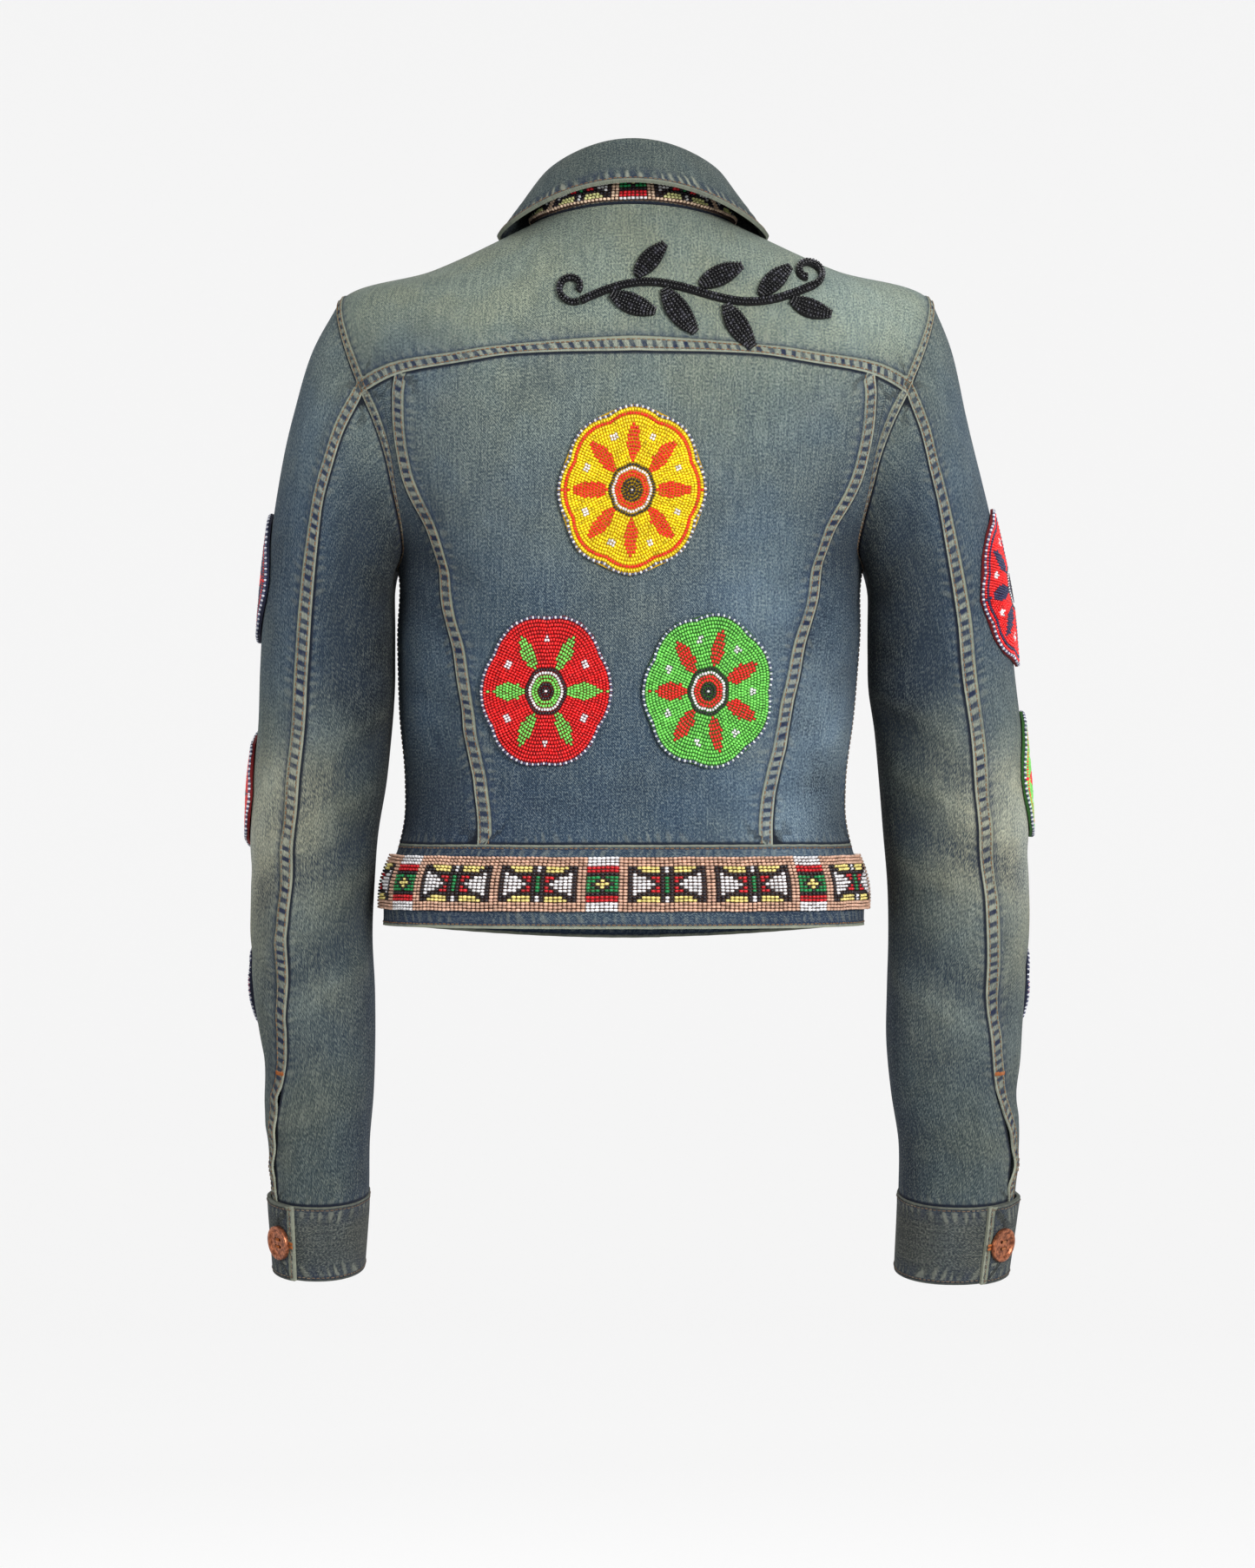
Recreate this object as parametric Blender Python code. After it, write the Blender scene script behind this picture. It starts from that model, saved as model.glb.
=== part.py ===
"""A cropped denim jacket in its worn form: cut panels, two-piece sleeves, collar, bands, beadwork and buttons.

Sizes are in millimetres in the tables below and become metres when a mesh is made. Heights in the tables are
above the back hem. +Z is up, the front faces -Y and the wearer's left is +X. The finished jacket has its origin
at the height where the shoulders meet the neck.
"""
import math

import bmesh
import bpy
import numpy as np
from mathutils import Matrix, Vector

for old in list(bpy.data.objects):
    bpy.data.objects.remove(old, do_unlink=True)

METRE = 0.001
NECK_HEIGHT = 447.0
DENIM = 1.2
TWO_PLY = 2.3
SEAM_GAP = 0.15
SEAM_RISE = 0.8
STRIP_STEP = 1.2
REST_GAP = 0.3
CURVE_ALLOWANCE = 0.35
TIGHT_ALLOWANCE = 0.65
BEAD_THICK = 1.8
DENSE = 60
SEARCH_TURNS = 36
LEVEL_TURNS = 28
LEVEL_GAIN = 0.8

# The body's rings, hem to neck. Level counts up the body and over the shoulders; side, back and front are the
# heights of the ring there; back_y and front_y are how far it stands out behind and in front.
RING_COLUMNS = ("level", "side", "back", "front", "half_width", "back_y", "front_y", "square", "lean")
RINGS = (
    (0, 0, 0, -12, 153.0, 98, 108, 2.35, 5.0),
    (28, 28, 28, 18, 152.0, 96, 107, 2.35, 4.5),
    (52, 52, 52, 44, 143.5, 91, 105, 2.30, 4.0),
    (66, 66, 66, 60, 140.6, 89, 105, 2.25, 4.0),
    (92, 92, 92, 88, 140.2, 88, 107, 2.20, 3.8),
    (135, 135, 136, 132, 144.5, 92, 112, 2.20, 3.0),
    (180, 180, 184, 178, 147.0, 99, 118, 2.25, 1.8),
    (228, 228, 238, 222, 149.0, 104, 121, 2.30, 0.6),
    (285, 285, 289, 262, 177.0, 106, 116, 2.30, -0.8),
    (345, 345, 334, 300, 194.0, 103, 104, 2.20, -2.0),
    (398, 398, 371, 332, 190.0, 96, 90, 2.05, -2.6),
    (458, 418, 414, 366, 130.0, 79, 78, 2.00, -2.0),
    (528, 447, 455, 398, 66.0, 56, 62, 2.00, -1.0),
)
BAND_TOP = 52.0
ARMPIT = 228.0
SHOULDER_TIP = 398.0
NECK_LEVEL = 528.0

# The armhole on the body: an egg round its middle level, widest towards the back and the front.
ARMHOLE_REACH = math.radians(33.0)
ARMHOLE_SAG = 0.18
YOKE_CORNER_TURN = math.radians(107.0)
SHOULDER_SEAM_TURN = math.radians(193.0)
NECK_SHOULDER_ANGLE = math.radians(-10.0)
PLACKET_HALF = 18.0

# Seams of the back as (distance from the middle, height).
YOKE_SEAM = ((0.0, 359.0), (50.0, 358.3), (79.0, 357.0), (107.0, 353.0), (150.0, 346.0))
PRINCESS_SEAM = ((92.0, 52.0), (101.0, 118.0), (110.0, 168.0), (120.0, 210.0), (134.0, 256.0), (150.0, 346.0))
YOKE_STRIP = 9.5
PRINCESS_STRIP = 9.5
ARMHOLE_STRIP = 6.7
EDGE_EASE = 3.5
MITRE_LIMIT = 0.2
FLAT_BELOW = 34.0
FLAT_ABOVE = 97.0

# Sleeve rings, shoulder to hem: reach down the sleeve, the ring's outer and inner points, its half depth,
# its middle's place fore and aft and how far its back hangs lower.
SLEEVE_COLUMNS = ("reach", "outer_x", "outer_z", "inner_x", "inner_z", "half_depth", "mid_y", "drop")
SLEEVE_LEFT = (
    (0, 190.0, 398, 149.6, 228, 66, 0, 0),
    (30, 205.5, 368, 151.3, 222, 67, 1, 0),
    (65, 216.5, 327, 151.6, 213, 66, 2, 1),
    (100, 224.0, 290, 151.5, 203, 64, 3, 1),
    (140, 230.8, 246, 151.3, 190, 62, 3, 2),
    (180, 235.0, 205, 151.3, 172, 60, 3, 2),
    (220, 237.6, 163, 151.6, 149, 58, 2, 2),
    (255, 239.0, 125, 153.6, 122, 56, 1, 2),
    (290, 242.9, 90, 157.1, 90, 54, 0, 2),
    (325, 244.0, 58, 162.4, 58, 53, -1, 3),
    (360, 244.5, 25, 164.9, 25, 52, -3, 3),
    (395, 244.5, -9, 166.3, -9, 51, -6, 4),
    (430, 242.9, -42, 165.0, -42, 49, -10, 4),
    (465, 238.8, -75, 165.0, -75, 48, -14, 5),
    (500, 237.2, -109, 166.2, -109, 47, -18, 5),
    (535, 234.1, -142, 169.0, -142, 45, -22, 6),
    (566, 232.4, -172, 169.6, -172, 44, -26, 6),
    (619, 229.0, -222, 173.2, -222, 41, -32, 6),
)
SLEEVE_RIGHT = (
    (0, 190.0, 398, 149.6, 228, 66, 0, 0),
    (30, 202.5, 368, 151.3, 222, 67, 1, 0),
    (65, 213.0, 327, 151.6, 213, 66, 2, 1),
    (100, 222.5, 290, 151.5, 203, 64, 3, 1),
    (140, 233.0, 246, 151.3, 190, 62, 3, 2),
    (180, 241.0, 205, 151.3, 172, 60, 3, 2),
    (220, 245.0, 163, 152.0, 149, 58, 2, 2),
    (255, 249.5, 125, 155.9, 122, 57, 1, 2),
    (290, 252.8, 90, 158.9, 90, 56, 0, 2),
    (325, 254.5, 58, 161.5, 58, 55, -1, 3),
    (360, 255.6, 25, 164.3, 25, 54, -3, 3),
    (395, 255.0, -9, 165.0, -9, 53, -6, 4),
    (430, 252.9, -42, 164.4, -42, 52, -10, 4),
    (465, 251.0, -75, 164.2, -75, 51, -14, 5),
    (500, 250.6, -109, 167.5, -109, 49, -18, 5),
    (535, 250.0, -142, 172.6, -142, 47, -22, 6),
    (566, 248.0, -172, 172.8, -172, 46, -26, 6),
    (619, 241.5, -224, 171.0, -224, 43, -32, 6),
)
SLEEVE_TABLES = {1: SLEEVE_LEFT, -1: SLEEVE_RIGHT}
SLEEVE_SQUARE = 2.15
CUFF_TOP = 568.0
CUFF_FOOT = 619.0
CAP_FADE = 95.0
UNDER_ARM_GAP = REST_GAP + TIGHT_ALLOWANCE

# The back seam of a sleeve as (reach, angle from the outside towards the back), and how far the seam under the
# arm's front turns from its place at the armhole.
BACK_SEAM = ((0, 73.0), (100, 78.0), (255, 77.0), (360, 74.0), (450, 64.0), (500, 52.0), (535, 40.0), (568, 36.0))
FRONT_SEAM = ((0, 0.0), (200, -2.0), (400, -6.0), (568, -12.0))
SLEEVE_STRIP = 9.5
SLEEVE_REACHES = (0, 26, 54, 84, 116, 150, 184, 216, 240, 260, 280, 300, 320, 340, 360, 380, 400, 420, 440,
                  460, 480, 502, 534, 568)

# The cuffs and the waistband run round in even steps, and their outer ends lie over their under ends.
CUFF_STEPS = 28
CUFF_FIRST, CUFF_LAST, CUFF_CLIMB = 2, 33, (27, 29.4)
CUFF_RISE = 0.8
BAND_STEPS = 40
BAND_FIRST, BAND_LAST, BAND_CLIMB = -11, 31, (27.2, 28.7)
BAND_RISE = 0.8
BAND_LEVELS = (0.0, 10.5, 27.0, 44.0, 52.0)
LAP_GAP = 0.4

# Soft folds: from across and up, to across and up, width, rise. On the body a place is (distance from the
# middle, height).
BACK_FOLDS = (
    (138, 240, 116, 178, 19, -3.4),
    (128, 64, 116, 140, 16, -2.6),
    (60, 66, 0, 86, 18, -1.6),
    (-138, 240, -114, 182, 19, -3.6),
    (-129, 64, -110, 128, 16, -2.8),
    (-166, 318, -128, 258, 18, -2.2),
    (166, 318, 132, 262, 18, -2.0),
)
FRONT_FOLDS = (
    (136, 230, 92, 176, 19, -3.4),
    (118, 62, 96, 130, 16, -2.8),
    (150, 300, 118, 226, 19, -2.8),
    (-136, 230, -96, 170, 19, -3.2),
    (-116, 62, -98, 122, 16, -2.6),
    (-150, 300, -120, 232, 19, -3.0),
)
# On a sleeve a place is (angle from the outside towards the back, reach).
ARM_FOLDS = {
    1: (
        (112, 60, 100, 200, 17, -3.4),
        (150, 262, 60, 312, 16, -2.8),
        (140, 330, 30, 366, 16, -3.8),
        (150, 384, 50, 424, 16, -3.4),
        (120, 456, 10, 484, 16, -2.6),
        (330, 300, 250, 366, 17, -3.6),
        (320, 378, 240, 424, 16, -3.2),
        (290, 70, 265, 190, 18, -3.0),
    ),
    -1: (
        (112, 66, 98, 206, 17, -3.4),
        (152, 246, 66, 298, 16, -3.0),
        (138, 318, 26, 354, 16, -3.6),
        (148, 396, 44, 440, 16, -3.6),
        (116, 472, 6, 500, 16, -2.6),
        (332, 290, 252, 356, 17, -3.4),
        (322, 370, 238, 430, 16, -3.2),
        (292, 76, 264, 200, 18, -2.8),
    ),
}
ARC_PER_DEGREE = 0.87
BODY_FOLD_FADE = 30.0
CAP_FOLD_FADE = 40.0
CUFF_FOLD_FADE = 30.0
BODY_STEP = (0.012, 1.5)
SLEEVE_STEP = (2.0, 0.02)

# Rings of the collar: the stand rises from the neck seam, the leaf turns over its top edge and falls. Each row
# is a name, the ring's heights at the side, back and front, its half width, and its depths behind and in front.
STAND_RINGS = (
    ("foot", 447.4, 455.4, 398.4, 65.4, 55.6, 61.6),
    ("middle", 460.0, 471.5, 412.0, 57.0, 52.5, 58.6),
    ("top", 473.0, 487.0, 426.0, 50.5, 50.0, 56.0),
)
LEAF_RINGS = (
    ("seam", 472.2, 486.8, 425.8, 48.5, 47.7, 53.8),
    ("turn_in", 478.6, 492.8, 431.6, 48.4, 48.2, 54.4),
    ("crown", 482.4, 497.0, 435.6, 52.2, 52.2, 59.0),
    ("turn_out", 479.2, 494.0, 432.0, 58.0, 58.0, 65.0),
    ("upper", 467.5, 485.5, 417.0, 67.0, 66.5, 71.0),
    ("lower", 453.2, 476.0, 398.0, 77.2, 74.5, 77.0),
    ("edge", 440.6, 466.5, 378.0, 86.5, 81.5, 83.0),
)
STAND_FRONT = math.radians(13.0)
POINT_FRONT = math.radians(27.0)
COLLAR_STEPS = 26
NECK_BAND_SHARE = (0.06, 0.86)

# Beaded rosettes on the back: middle as (distance from the middle, height), half width, half height, petals.
BACK_ROSETTES = (
    ("rosette_yellow", 0.0, 272.0, 46.0, 53.0, 8, "yellow"),
    ("rosette_red", 50.0, 148.0, 41.0, 49.0, 6, "red"),
    ("rosette_green", -50.0, 148.0, 41.0, 49.0, 7, "green"),
)
# Beaded rosettes on the sleeves: side, middle as (angle, reach), half width, half height, petals.
SLEEVE_ROSETTES = (
    ("sleeve_rosette_left_1", 1, -19.0, 164.0, 42.0, 42.0, 6, "navy"),
    ("sleeve_rosette_left_2", 1, -24.0, 296.0, 42.0, 40.0, 8, "red"),
    ("sleeve_rosette_left_3", 1, -34.0, 430.0, 27.0, 30.0, 5, "navy"),
    ("sleeve_rosette_right_1", -1, 10.0, 170.0, 42.0, 48.0, 8, "red"),
    ("sleeve_rosette_right_2", -1, -18.0, 286.0, 42.0, 44.0, 6, "green"),
    ("sleeve_rosette_right_3", -1, -34.0, 428.0, 27.0, 30.0, 5, "navy"),
)
ROSETTE_SCALLOP = 0.06

# The black beaded spray on the yoke: a waving stem, a curl at each end, and leaves as share of the stem, side,
# length, half width and lean in degrees.
STEM_ENDS = ((34.0, 390.0), (-112.0, 402.0))
STEM_WAVE = 9.0
STEM_HALF = 2.4
SPRAY_LEAVES = (
    (0.10, 1, 27.0, 6.0, 50.0),
    (0.22, -1, 25.0, 5.6, 48.0),
    (0.34, 1, 31.0, 6.6, 54.0),
    (0.48, -1, 27.0, 6.0, 50.0),
    (0.60, 1, 29.0, 6.2, 52.0),
    (0.74, -1, 25.0, 5.6, 46.0),
    (0.86, 1, 24.0, 5.4, 44.0),
)
LEAF_TIP = 0.7
LEAF_BEND = 0.16
LEAF_STEM_GAP = 1.3
CURL_RADII = (10.0, 4.2)
CURL_TURN = math.radians(330.0)
CURL_HALF = 2.0
STEM_STEPS, LEAF_STEPS, CURL_STEPS = 22, 7, 18

CUFF_BUTTON = {"angle": math.radians(47.0), "reach": 594.0, "radius": 11.0, "height": 2.8}
FRONT_BUTTON = {"radius": 8.5, "height": 3.4}
FRONT_BUTTON_LEVELS = (84.0, 165.0, 246.0, 330.0, 432.0)
BAND_BUTTON_LEVEL = 27.0

DENIM_COLOUR = (0.105, 0.155, 0.200, 1.0)
CUFF_COLOUR = (0.062, 0.078, 0.082, 1.0)
COPPER_COLOUR = (0.45, 0.20, 0.10, 1.0)
STEEL_COLOUR = (0.42, 0.40, 0.37, 1.0)
BEAD_COLOURS = {
    "tan": (0.50, 0.32, 0.19, 1.0),
    "yellow": (0.90, 0.62, 0.01, 1.0),
    "green": (0.08, 0.50, 0.06, 1.0),
    "red": (0.62, 0.015, 0.015, 1.0),
    "black": (0.008, 0.008, 0.010, 1.0),
    "navy": (0.020, 0.028, 0.075, 1.0),
}


def smooth_track(places, values):
    """A smooth line through table rows, read at any place between them."""
    steps = np.diff(places)
    slopes = np.diff(values) / steps
    tilt = np.empty(len(values))
    tilt[0] = slopes[0]
    tilt[-1] = slopes[-1]
    tilt[1:-1] = (slopes[:-1] * steps[1:] + slopes[1:] * steps[:-1]) / (steps[:-1] + steps[1:])

    def read(place):
        place = np.clip(place, places[0], places[-1])
        row = np.clip(np.searchsorted(places, place, side="right") - 1, 0, len(steps) - 1)
        gap = steps[row]
        t = (place - places[row]) / gap
        start = (2 * t**3 - 3 * t**2 + 1) * values[row] + (t**3 - 2 * t**2 + t) * gap * tilt[row]
        stop = (3 * t**2 - 2 * t**3) * values[row + 1] + (t**3 - t**2) * gap * tilt[row + 1]
        return start + stop

    return read


def tracks_of(table, names):
    """One smooth track for each named column, along the table's first column."""
    data = np.array(table, float)
    return {name: smooth_track(data[:, 0], data[:, k]) for k, name in enumerate(names) if k}


def smooth_step(share):
    share = np.clip(share, 0.0, 1.0)
    return share * share * (3.0 - 2.0 * share)


def unit(vectors):
    return vectors / np.linalg.norm(vectors, axis=-1, keepdims=True)


def egg(angle, square):
    """A circle drawn out towards a square: how far across and how far along at an angle."""
    across = np.cos(angle)
    along = np.sin(angle)
    reach = (np.abs(across) ** square + np.abs(along) ** square) ** (-1.0 / square)
    return reach * across, reach * along


def crease(across, up, folds):
    """How far soft folds raise or sink the cloth at a place."""
    rise = np.zeros(np.broadcast(across, up).shape)
    for from_across, from_up, to_across, to_up, width, height in folds:
        run = (to_across - from_across, to_up - from_up)
        share = ((across - from_across) * run[0] + (up - from_up) * run[1]) / (run[0] ** 2 + run[1] ** 2)
        share = np.clip(share, 0.0, 1.0)
        away = (across - from_across - share * run[0]) ** 2 + (up - from_up - share * run[1]) ** 2
        rise = rise + height * np.exp(-away / width**2)
    return rise


BODY = tracks_of(RINGS, RING_COLUMNS)
SLEEVES = {side: tracks_of(table, SLEEVE_COLUMNS) for side, table in SLEEVE_TABLES.items()}


def bare_body(angle, level):
    """A point of the body: angle runs from the left side to the back, level from the hem to the neck."""
    across, along = egg(angle, BODY["square"](level))
    behind = along >= 0.0
    deep = np.where(behind, BODY["back_y"](level), BODY["front_y"](level))
    far = np.where(behind, BODY["back"](level), BODY["front"](level))
    side = BODY["side"](level)
    x = BODY["lean"](level) + BODY["half_width"](level) * across
    z = side + (far - side) * np.sin(angle) ** 2
    return np.stack(np.broadcast_arrays(x, deep * along, z), axis=-1)


def facing(surface, u, w, step_u, step_w):
    """The outward direction of a surface whose two directions turn outwards in that order."""
    along_u = surface(u + step_u, w) - surface(u - step_u, w)
    along_w = surface(u, w + step_w) - surface(u, w - step_w)
    return unit(np.cross(along_u, along_w))


def body(angle, level):
    """Points of the body with their folds, and their outward directions."""
    spots = bare_body(angle, level)
    out = facing(bare_body, angle, level, *BODY_STEP)
    across, deep, up = np.moveaxis(spots, -1, 0)
    folds = np.where(deep > 0.0, crease(across, up, BACK_FOLDS), crease(across, up, FRONT_FOLDS))
    folds = folds * smooth_step(np.abs(deep) / BODY_FOLD_FADE)
    return spots + out * folds[..., None], out


def armhole(turn):
    """The armhole as (angle, level) on the left side: turn runs from the armpit up the back to the shoulder."""
    middle = 0.5 * (SHOULDER_TIP + ARMPIT)
    half = 0.5 * (SHOULDER_TIP - ARMPIT)
    angle = ARMHOLE_REACH * np.sin(turn) * (1.0 + ARMHOLE_SAG * np.cos(turn))
    return np.stack((angle, middle - half * np.cos(turn)), axis=-1)


def on_side(side, line):
    """A line of (angle, level) places for the left side, mirrored when the side is the right one."""
    return line if side > 0 else np.stack((math.pi - line[..., 0], line[..., 1]), axis=-1)


def armhole_edge(side, turn):
    """Points of the armhole and the body's outward directions there."""
    place = on_side(side, armhole(turn))
    return body(place[..., 0], place[..., 1])


def bare_sleeve(side, angle, reach):
    """A point of a sleeve: angle runs from its outside to its back, reach from the shoulder down."""
    track = SLEEVES[side]
    across, along = egg(angle, SLEEVE_SQUARE)
    outer_x, outer_z = track["outer_x"](reach), track["outer_z"](reach)
    inner_x, inner_z = track["inner_x"](reach), track["inner_z"](reach)
    x = 0.5 * (outer_x + inner_x) + 0.5 * (outer_x - inner_x) * across
    y = track["mid_y"](reach) + track["half_depth"](reach) * along
    z = 0.5 * (outer_z + inner_z) + 0.5 * (outer_z - inner_z) * across - track["drop"](reach) * along
    spots = np.stack(np.broadcast_arrays(x * side, y, z), axis=-1)
    fade = 1.0 - smooth_step(reach / CAP_FADE)
    return spots + armhole_shift(side, angle) * np.asarray(fade)[..., None]


def armhole_shift(side, angle):
    """From the plain top ring of a sleeve to the armhole, drawn clear of the body under the arm."""
    first = SLEEVE_TABLES[side][0]
    across, along = egg(angle, SLEEVE_SQUARE)
    x = 0.5 * (first[1] + first[3]) + 0.5 * (first[1] - first[3]) * across
    z = 0.5 * (first[2] + first[4]) + 0.5 * (first[2] - first[4]) * across
    ring = np.stack((x * side, first[5] * along, z), axis=-1)
    edge, out = armhole_edge(side, math.pi - angle)
    clear = UNDER_ARM_GAP * smooth_step(0.5 - 0.9 * np.cos(angle))
    return edge + out * clear[..., None] - ring


def sleeve(side, angle, reach):
    """Points of a sleeve with its folds, and their outward directions."""
    def surface(down, round_angle):
        return bare_sleeve(side, round_angle, down)

    reach, angle = np.broadcast_arrays(np.asarray(reach, float), np.asarray(angle, float))
    spots = bare_sleeve(side, angle, reach)
    out = side * facing(surface, np.maximum(reach, SLEEVE_STEP[0]), angle, *SLEEVE_STEP)
    degrees = np.mod(np.degrees(angle), 360.0)
    folds = crease(degrees * ARC_PER_DEGREE, reach, arm_fold_lines(side))
    folds = folds * smooth_step(reach / CAP_FOLD_FADE) * smooth_step((CUFF_TOP - reach) / CUFF_FOLD_FADE)
    return spots + out * folds[..., None], out


def arm_fold_lines(side):
    return [(a0 * ARC_PER_DEGREE, r0, a1 * ARC_PER_DEGREE, r1, width, rise)
            for a0, r0, a1, r1, width, rise in ARM_FOLDS[side]]


def angle_across(distance, level):
    """The angle, on the left back quarter, at which the body lies this far from its middle."""
    level = np.asarray(level, float)
    low = np.zeros(level.shape)
    high = np.full(level.shape, math.pi / 2)
    for _ in range(SEARCH_TURNS):
        middle = 0.5 * (low + high)
        across, _ = egg(middle, BODY["square"](level))
        beyond = BODY["half_width"](level) * across > distance
        low = np.where(beyond, middle, low)
        high = np.where(beyond, high, middle)
    return middle


def back_place(across, up):
    """The (angle, level) of a place on the back, given as distance from the middle and height."""
    across = np.asarray(across, float)
    level = np.array(up, float) + np.zeros(across.shape)
    for _ in range(LEVEL_TURNS):
        angle = angle_across(np.abs(across), level)
        level = level + LEVEL_GAIN * (up - bare_body(angle, level)[..., 2])
    return np.stack((np.where(across < 0.0, math.pi - angle, angle), level), axis=-1)


def straight(start, stop, count=DENSE):
    """A dense straight line between two (angle, level) places."""
    share = np.linspace(0.0, 1.0, count)[:, None]
    return np.asarray(start) * (1.0 - share) + np.asarray(stop) * share


def lengths_of(line):
    spots = bare_body(line[:, 0], line[:, 1])
    steps = np.linalg.norm(np.diff(spots, axis=0), axis=1)
    return np.concatenate(([0.0], np.cumsum(steps)))


def walk(line, count, near=None, far=None):
    """Stop at even steps along a dense line, with a seam strip kept clear at its ends."""
    length = lengths_of(line)
    whole = length[-1]
    start = [0.0] if near is None else [0.0, near, near + STRIP_STEP]
    stop = [whole] if far is None else [whole - far - STRIP_STEP, whole - far, whole]
    even = np.linspace(start[-1], stop[0], count + 1)
    stops = np.concatenate((start[:-1], even, stop[1:]))
    return np.stack([np.interp(stops, length, line[:, k]) for k in (0, 1)], axis=-1)


def joined(*lines):
    """Lines laid end to end, with each shared end kept once."""
    return np.concatenate([lines[0]] + [line[1:] for line in lines[1:]])


def shares_of(first, second):
    """How far along each stop lies, taken over two facing edges."""
    a, b = lengths_of(first), lengths_of(second)
    return 0.5 * (a / a[-1] + b / b[-1])


def net(left, right, bottom, top, ease=1.0):
    """Fill four edge lines of (angle, level) places with rows and columns.

    A higher ease keeps the bends of the bottom and top edges close to those edges.
    """
    s = shares_of(bottom, top)[None, :, None]
    t = shares_of(left, right)[:, None, None]
    across = (1 - s) * left[:, None] + s * right[:, None]
    low = bottom[None] - ((1 - s) * bottom[0] + s * bottom[-1])
    high = top[None] - ((1 - s) * top[0] + s * top[-1])
    return across + (1 - t) ** ease * low + t**ease * high


def net_facing(points):
    """Outward directions of a net whose columns turn from left to back and whose rows go up."""
    return unit(np.cross(np.gradient(points, axis=1), np.gradient(points, axis=0)))


def drawn_back(points, amount=SEAM_GAP):
    """How far each edge point of a net moves inwards so that a seam's two pieces stay apart."""
    shift = np.zeros(points.shape)

    def pull(edge, inside, along):
        run = unit(np.gradient(along, axis=0))
        way = inside - edge
        way = way - run * np.sum(way * run, axis=-1, keepdims=True)
        return unit(way) * amount

    shift[0] += pull(points[0], points[1], points[0])
    shift[-1] += pull(points[-1], points[-2], points[-1])
    shift[:, 0] += pull(points[:, 0], points[:, 1], points[:, 0])
    shift[:, -1] += pull(points[:, -1], points[:, -2], points[:, -1])
    return shift


def material(name, colour, roughness, metallic=0.0):
    made = bpy.data.materials.get(name) or bpy.data.materials.new(name)
    made.use_nodes = True
    shader = made.node_tree.nodes["Principled BSDF"]
    shader.inputs["Base Color"].default_value = colour
    shader.inputs["Roughness"].default_value = roughness
    shader.inputs["Metallic"].default_value = metallic
    return made


def solid(name, points, faces, finish):
    """A closed mesh object from points in millimetres above the hem."""
    place = (np.asarray(points, float).reshape(-1, 3) - (0.0, 0.0, NECK_HEIGHT)) * METRE
    mesh = bpy.data.meshes.new(name)
    mesh.from_pydata(place.tolist(), [], faces)
    mesh.materials.append(finish)
    mesh.shade_smooth()
    mesh.set_sharp_from_angle(angle=math.radians(40.0))
    made = bpy.data.objects.new(name, mesh)
    bpy.context.collection.objects.link(made)
    return made


def wall_faces(rows, columns, turned):
    """Triangles of a net's outer and inner sheets and of the rims that close them."""
    def spot(row, column, sheet):
        return (sheet * rows + row) * columns + column

    def split(a, b, c, d):
        return [(a, b, c), (a, c, d)]

    faces = []
    for row in range(rows - 1):
        for column in range(columns - 1):
            ring = ((row, column), (row, column + 1), (row + 1, column + 1), (row + 1, column))
            faces += split(*(spot(r, c, 0) for r, c in ring))
            faces += [face[::-1] for face in split(*(spot(r, c, 1) for r, c in ring))]
    rim = [(0, c) for c in range(columns)]
    rim += [(r, columns - 1) for r in range(1, rows)]
    rim += [(rows - 1, c) for c in range(columns - 2, -1, -1)]
    rim += [(r, 0) for r in range(rows - 2, 0, -1)]
    for here, there in zip(rim, rim[1:] + rim[:1]):
        faces += split(spot(*there, 0), spot(*here, 0), spot(*here, 1), spot(*there, 1))
    return [face[::-1] for face in faces] if turned else faces


def wall(name, points, out, thick, finish, lift=0.0, rise=0.0):
    """A sheet of cloth as a closed wall: lift moves all of it outwards, rise only raises its outer side."""
    points = points + drawn_back(points)
    lift = np.broadcast_to(lift, points.shape[:2])[..., None]
    rise = np.broadcast_to(rise, points.shape[:2])[..., None]
    outer = points + out * (lift + rise)
    inner = points + out * (lift - thick)
    rows, columns = points.shape[:2]
    middle = (rows // 2, columns // 2)
    grown = net_facing(points)[middle]
    turned = float(np.dot(grown, out[middle])) < 0.0
    return solid(name, np.stack((outer, inner)), wall_faces(rows, columns, turned), finish)


def yoke_seam_level():
    """The yoke seam as a track of level by angle, down to its corner at the armhole."""
    rows = np.array(YOKE_SEAM)
    places = back_place(rows[:, 0], rows[:, 1])[::-1]
    corner = armhole(np.array([YOKE_CORNER_TURN]))
    places = np.concatenate((corner, places))
    return smooth_track(places[:, 0], places[:, 1])


def princess_line():
    """The left princess seam, from the waistband to the yoke seam."""
    rows = np.array(PRINCESS_SEAM)
    places = back_place(rows[:, 0], rows[:, 1])
    places[-1, 1] = yoke_seam_level()(places[-1, 0])
    track = smooth_track(places[:, 1], places[:, 0])
    levels = np.linspace(places[0, 1], places[-1, 1], DENSE)
    return np.stack((track(levels), levels), axis=-1)


def yoke_line(start, stop):
    angles = np.linspace(start, stop, DENSE)
    return np.stack((angles, yoke_seam_level()(np.minimum(angles, math.pi - angles))), axis=-1)


def armhole_line(start, stop):
    return armhole(np.linspace(start, stop, DENSE))


def armhole_turns(line):
    """The turn of each place of the left armhole, from the armpit up the back and down the front."""
    middle = 0.5 * (SHOULDER_TIP + ARMPIT)
    half = 0.5 * (SHOULDER_TIP - ARMPIT)
    turn = np.arccos(np.clip((middle - line[:, 1]) / half, -1.0, 1.0))
    return np.where(line[:, 0] < -1e-9, 2.0 * math.pi - turn, turn)


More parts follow.
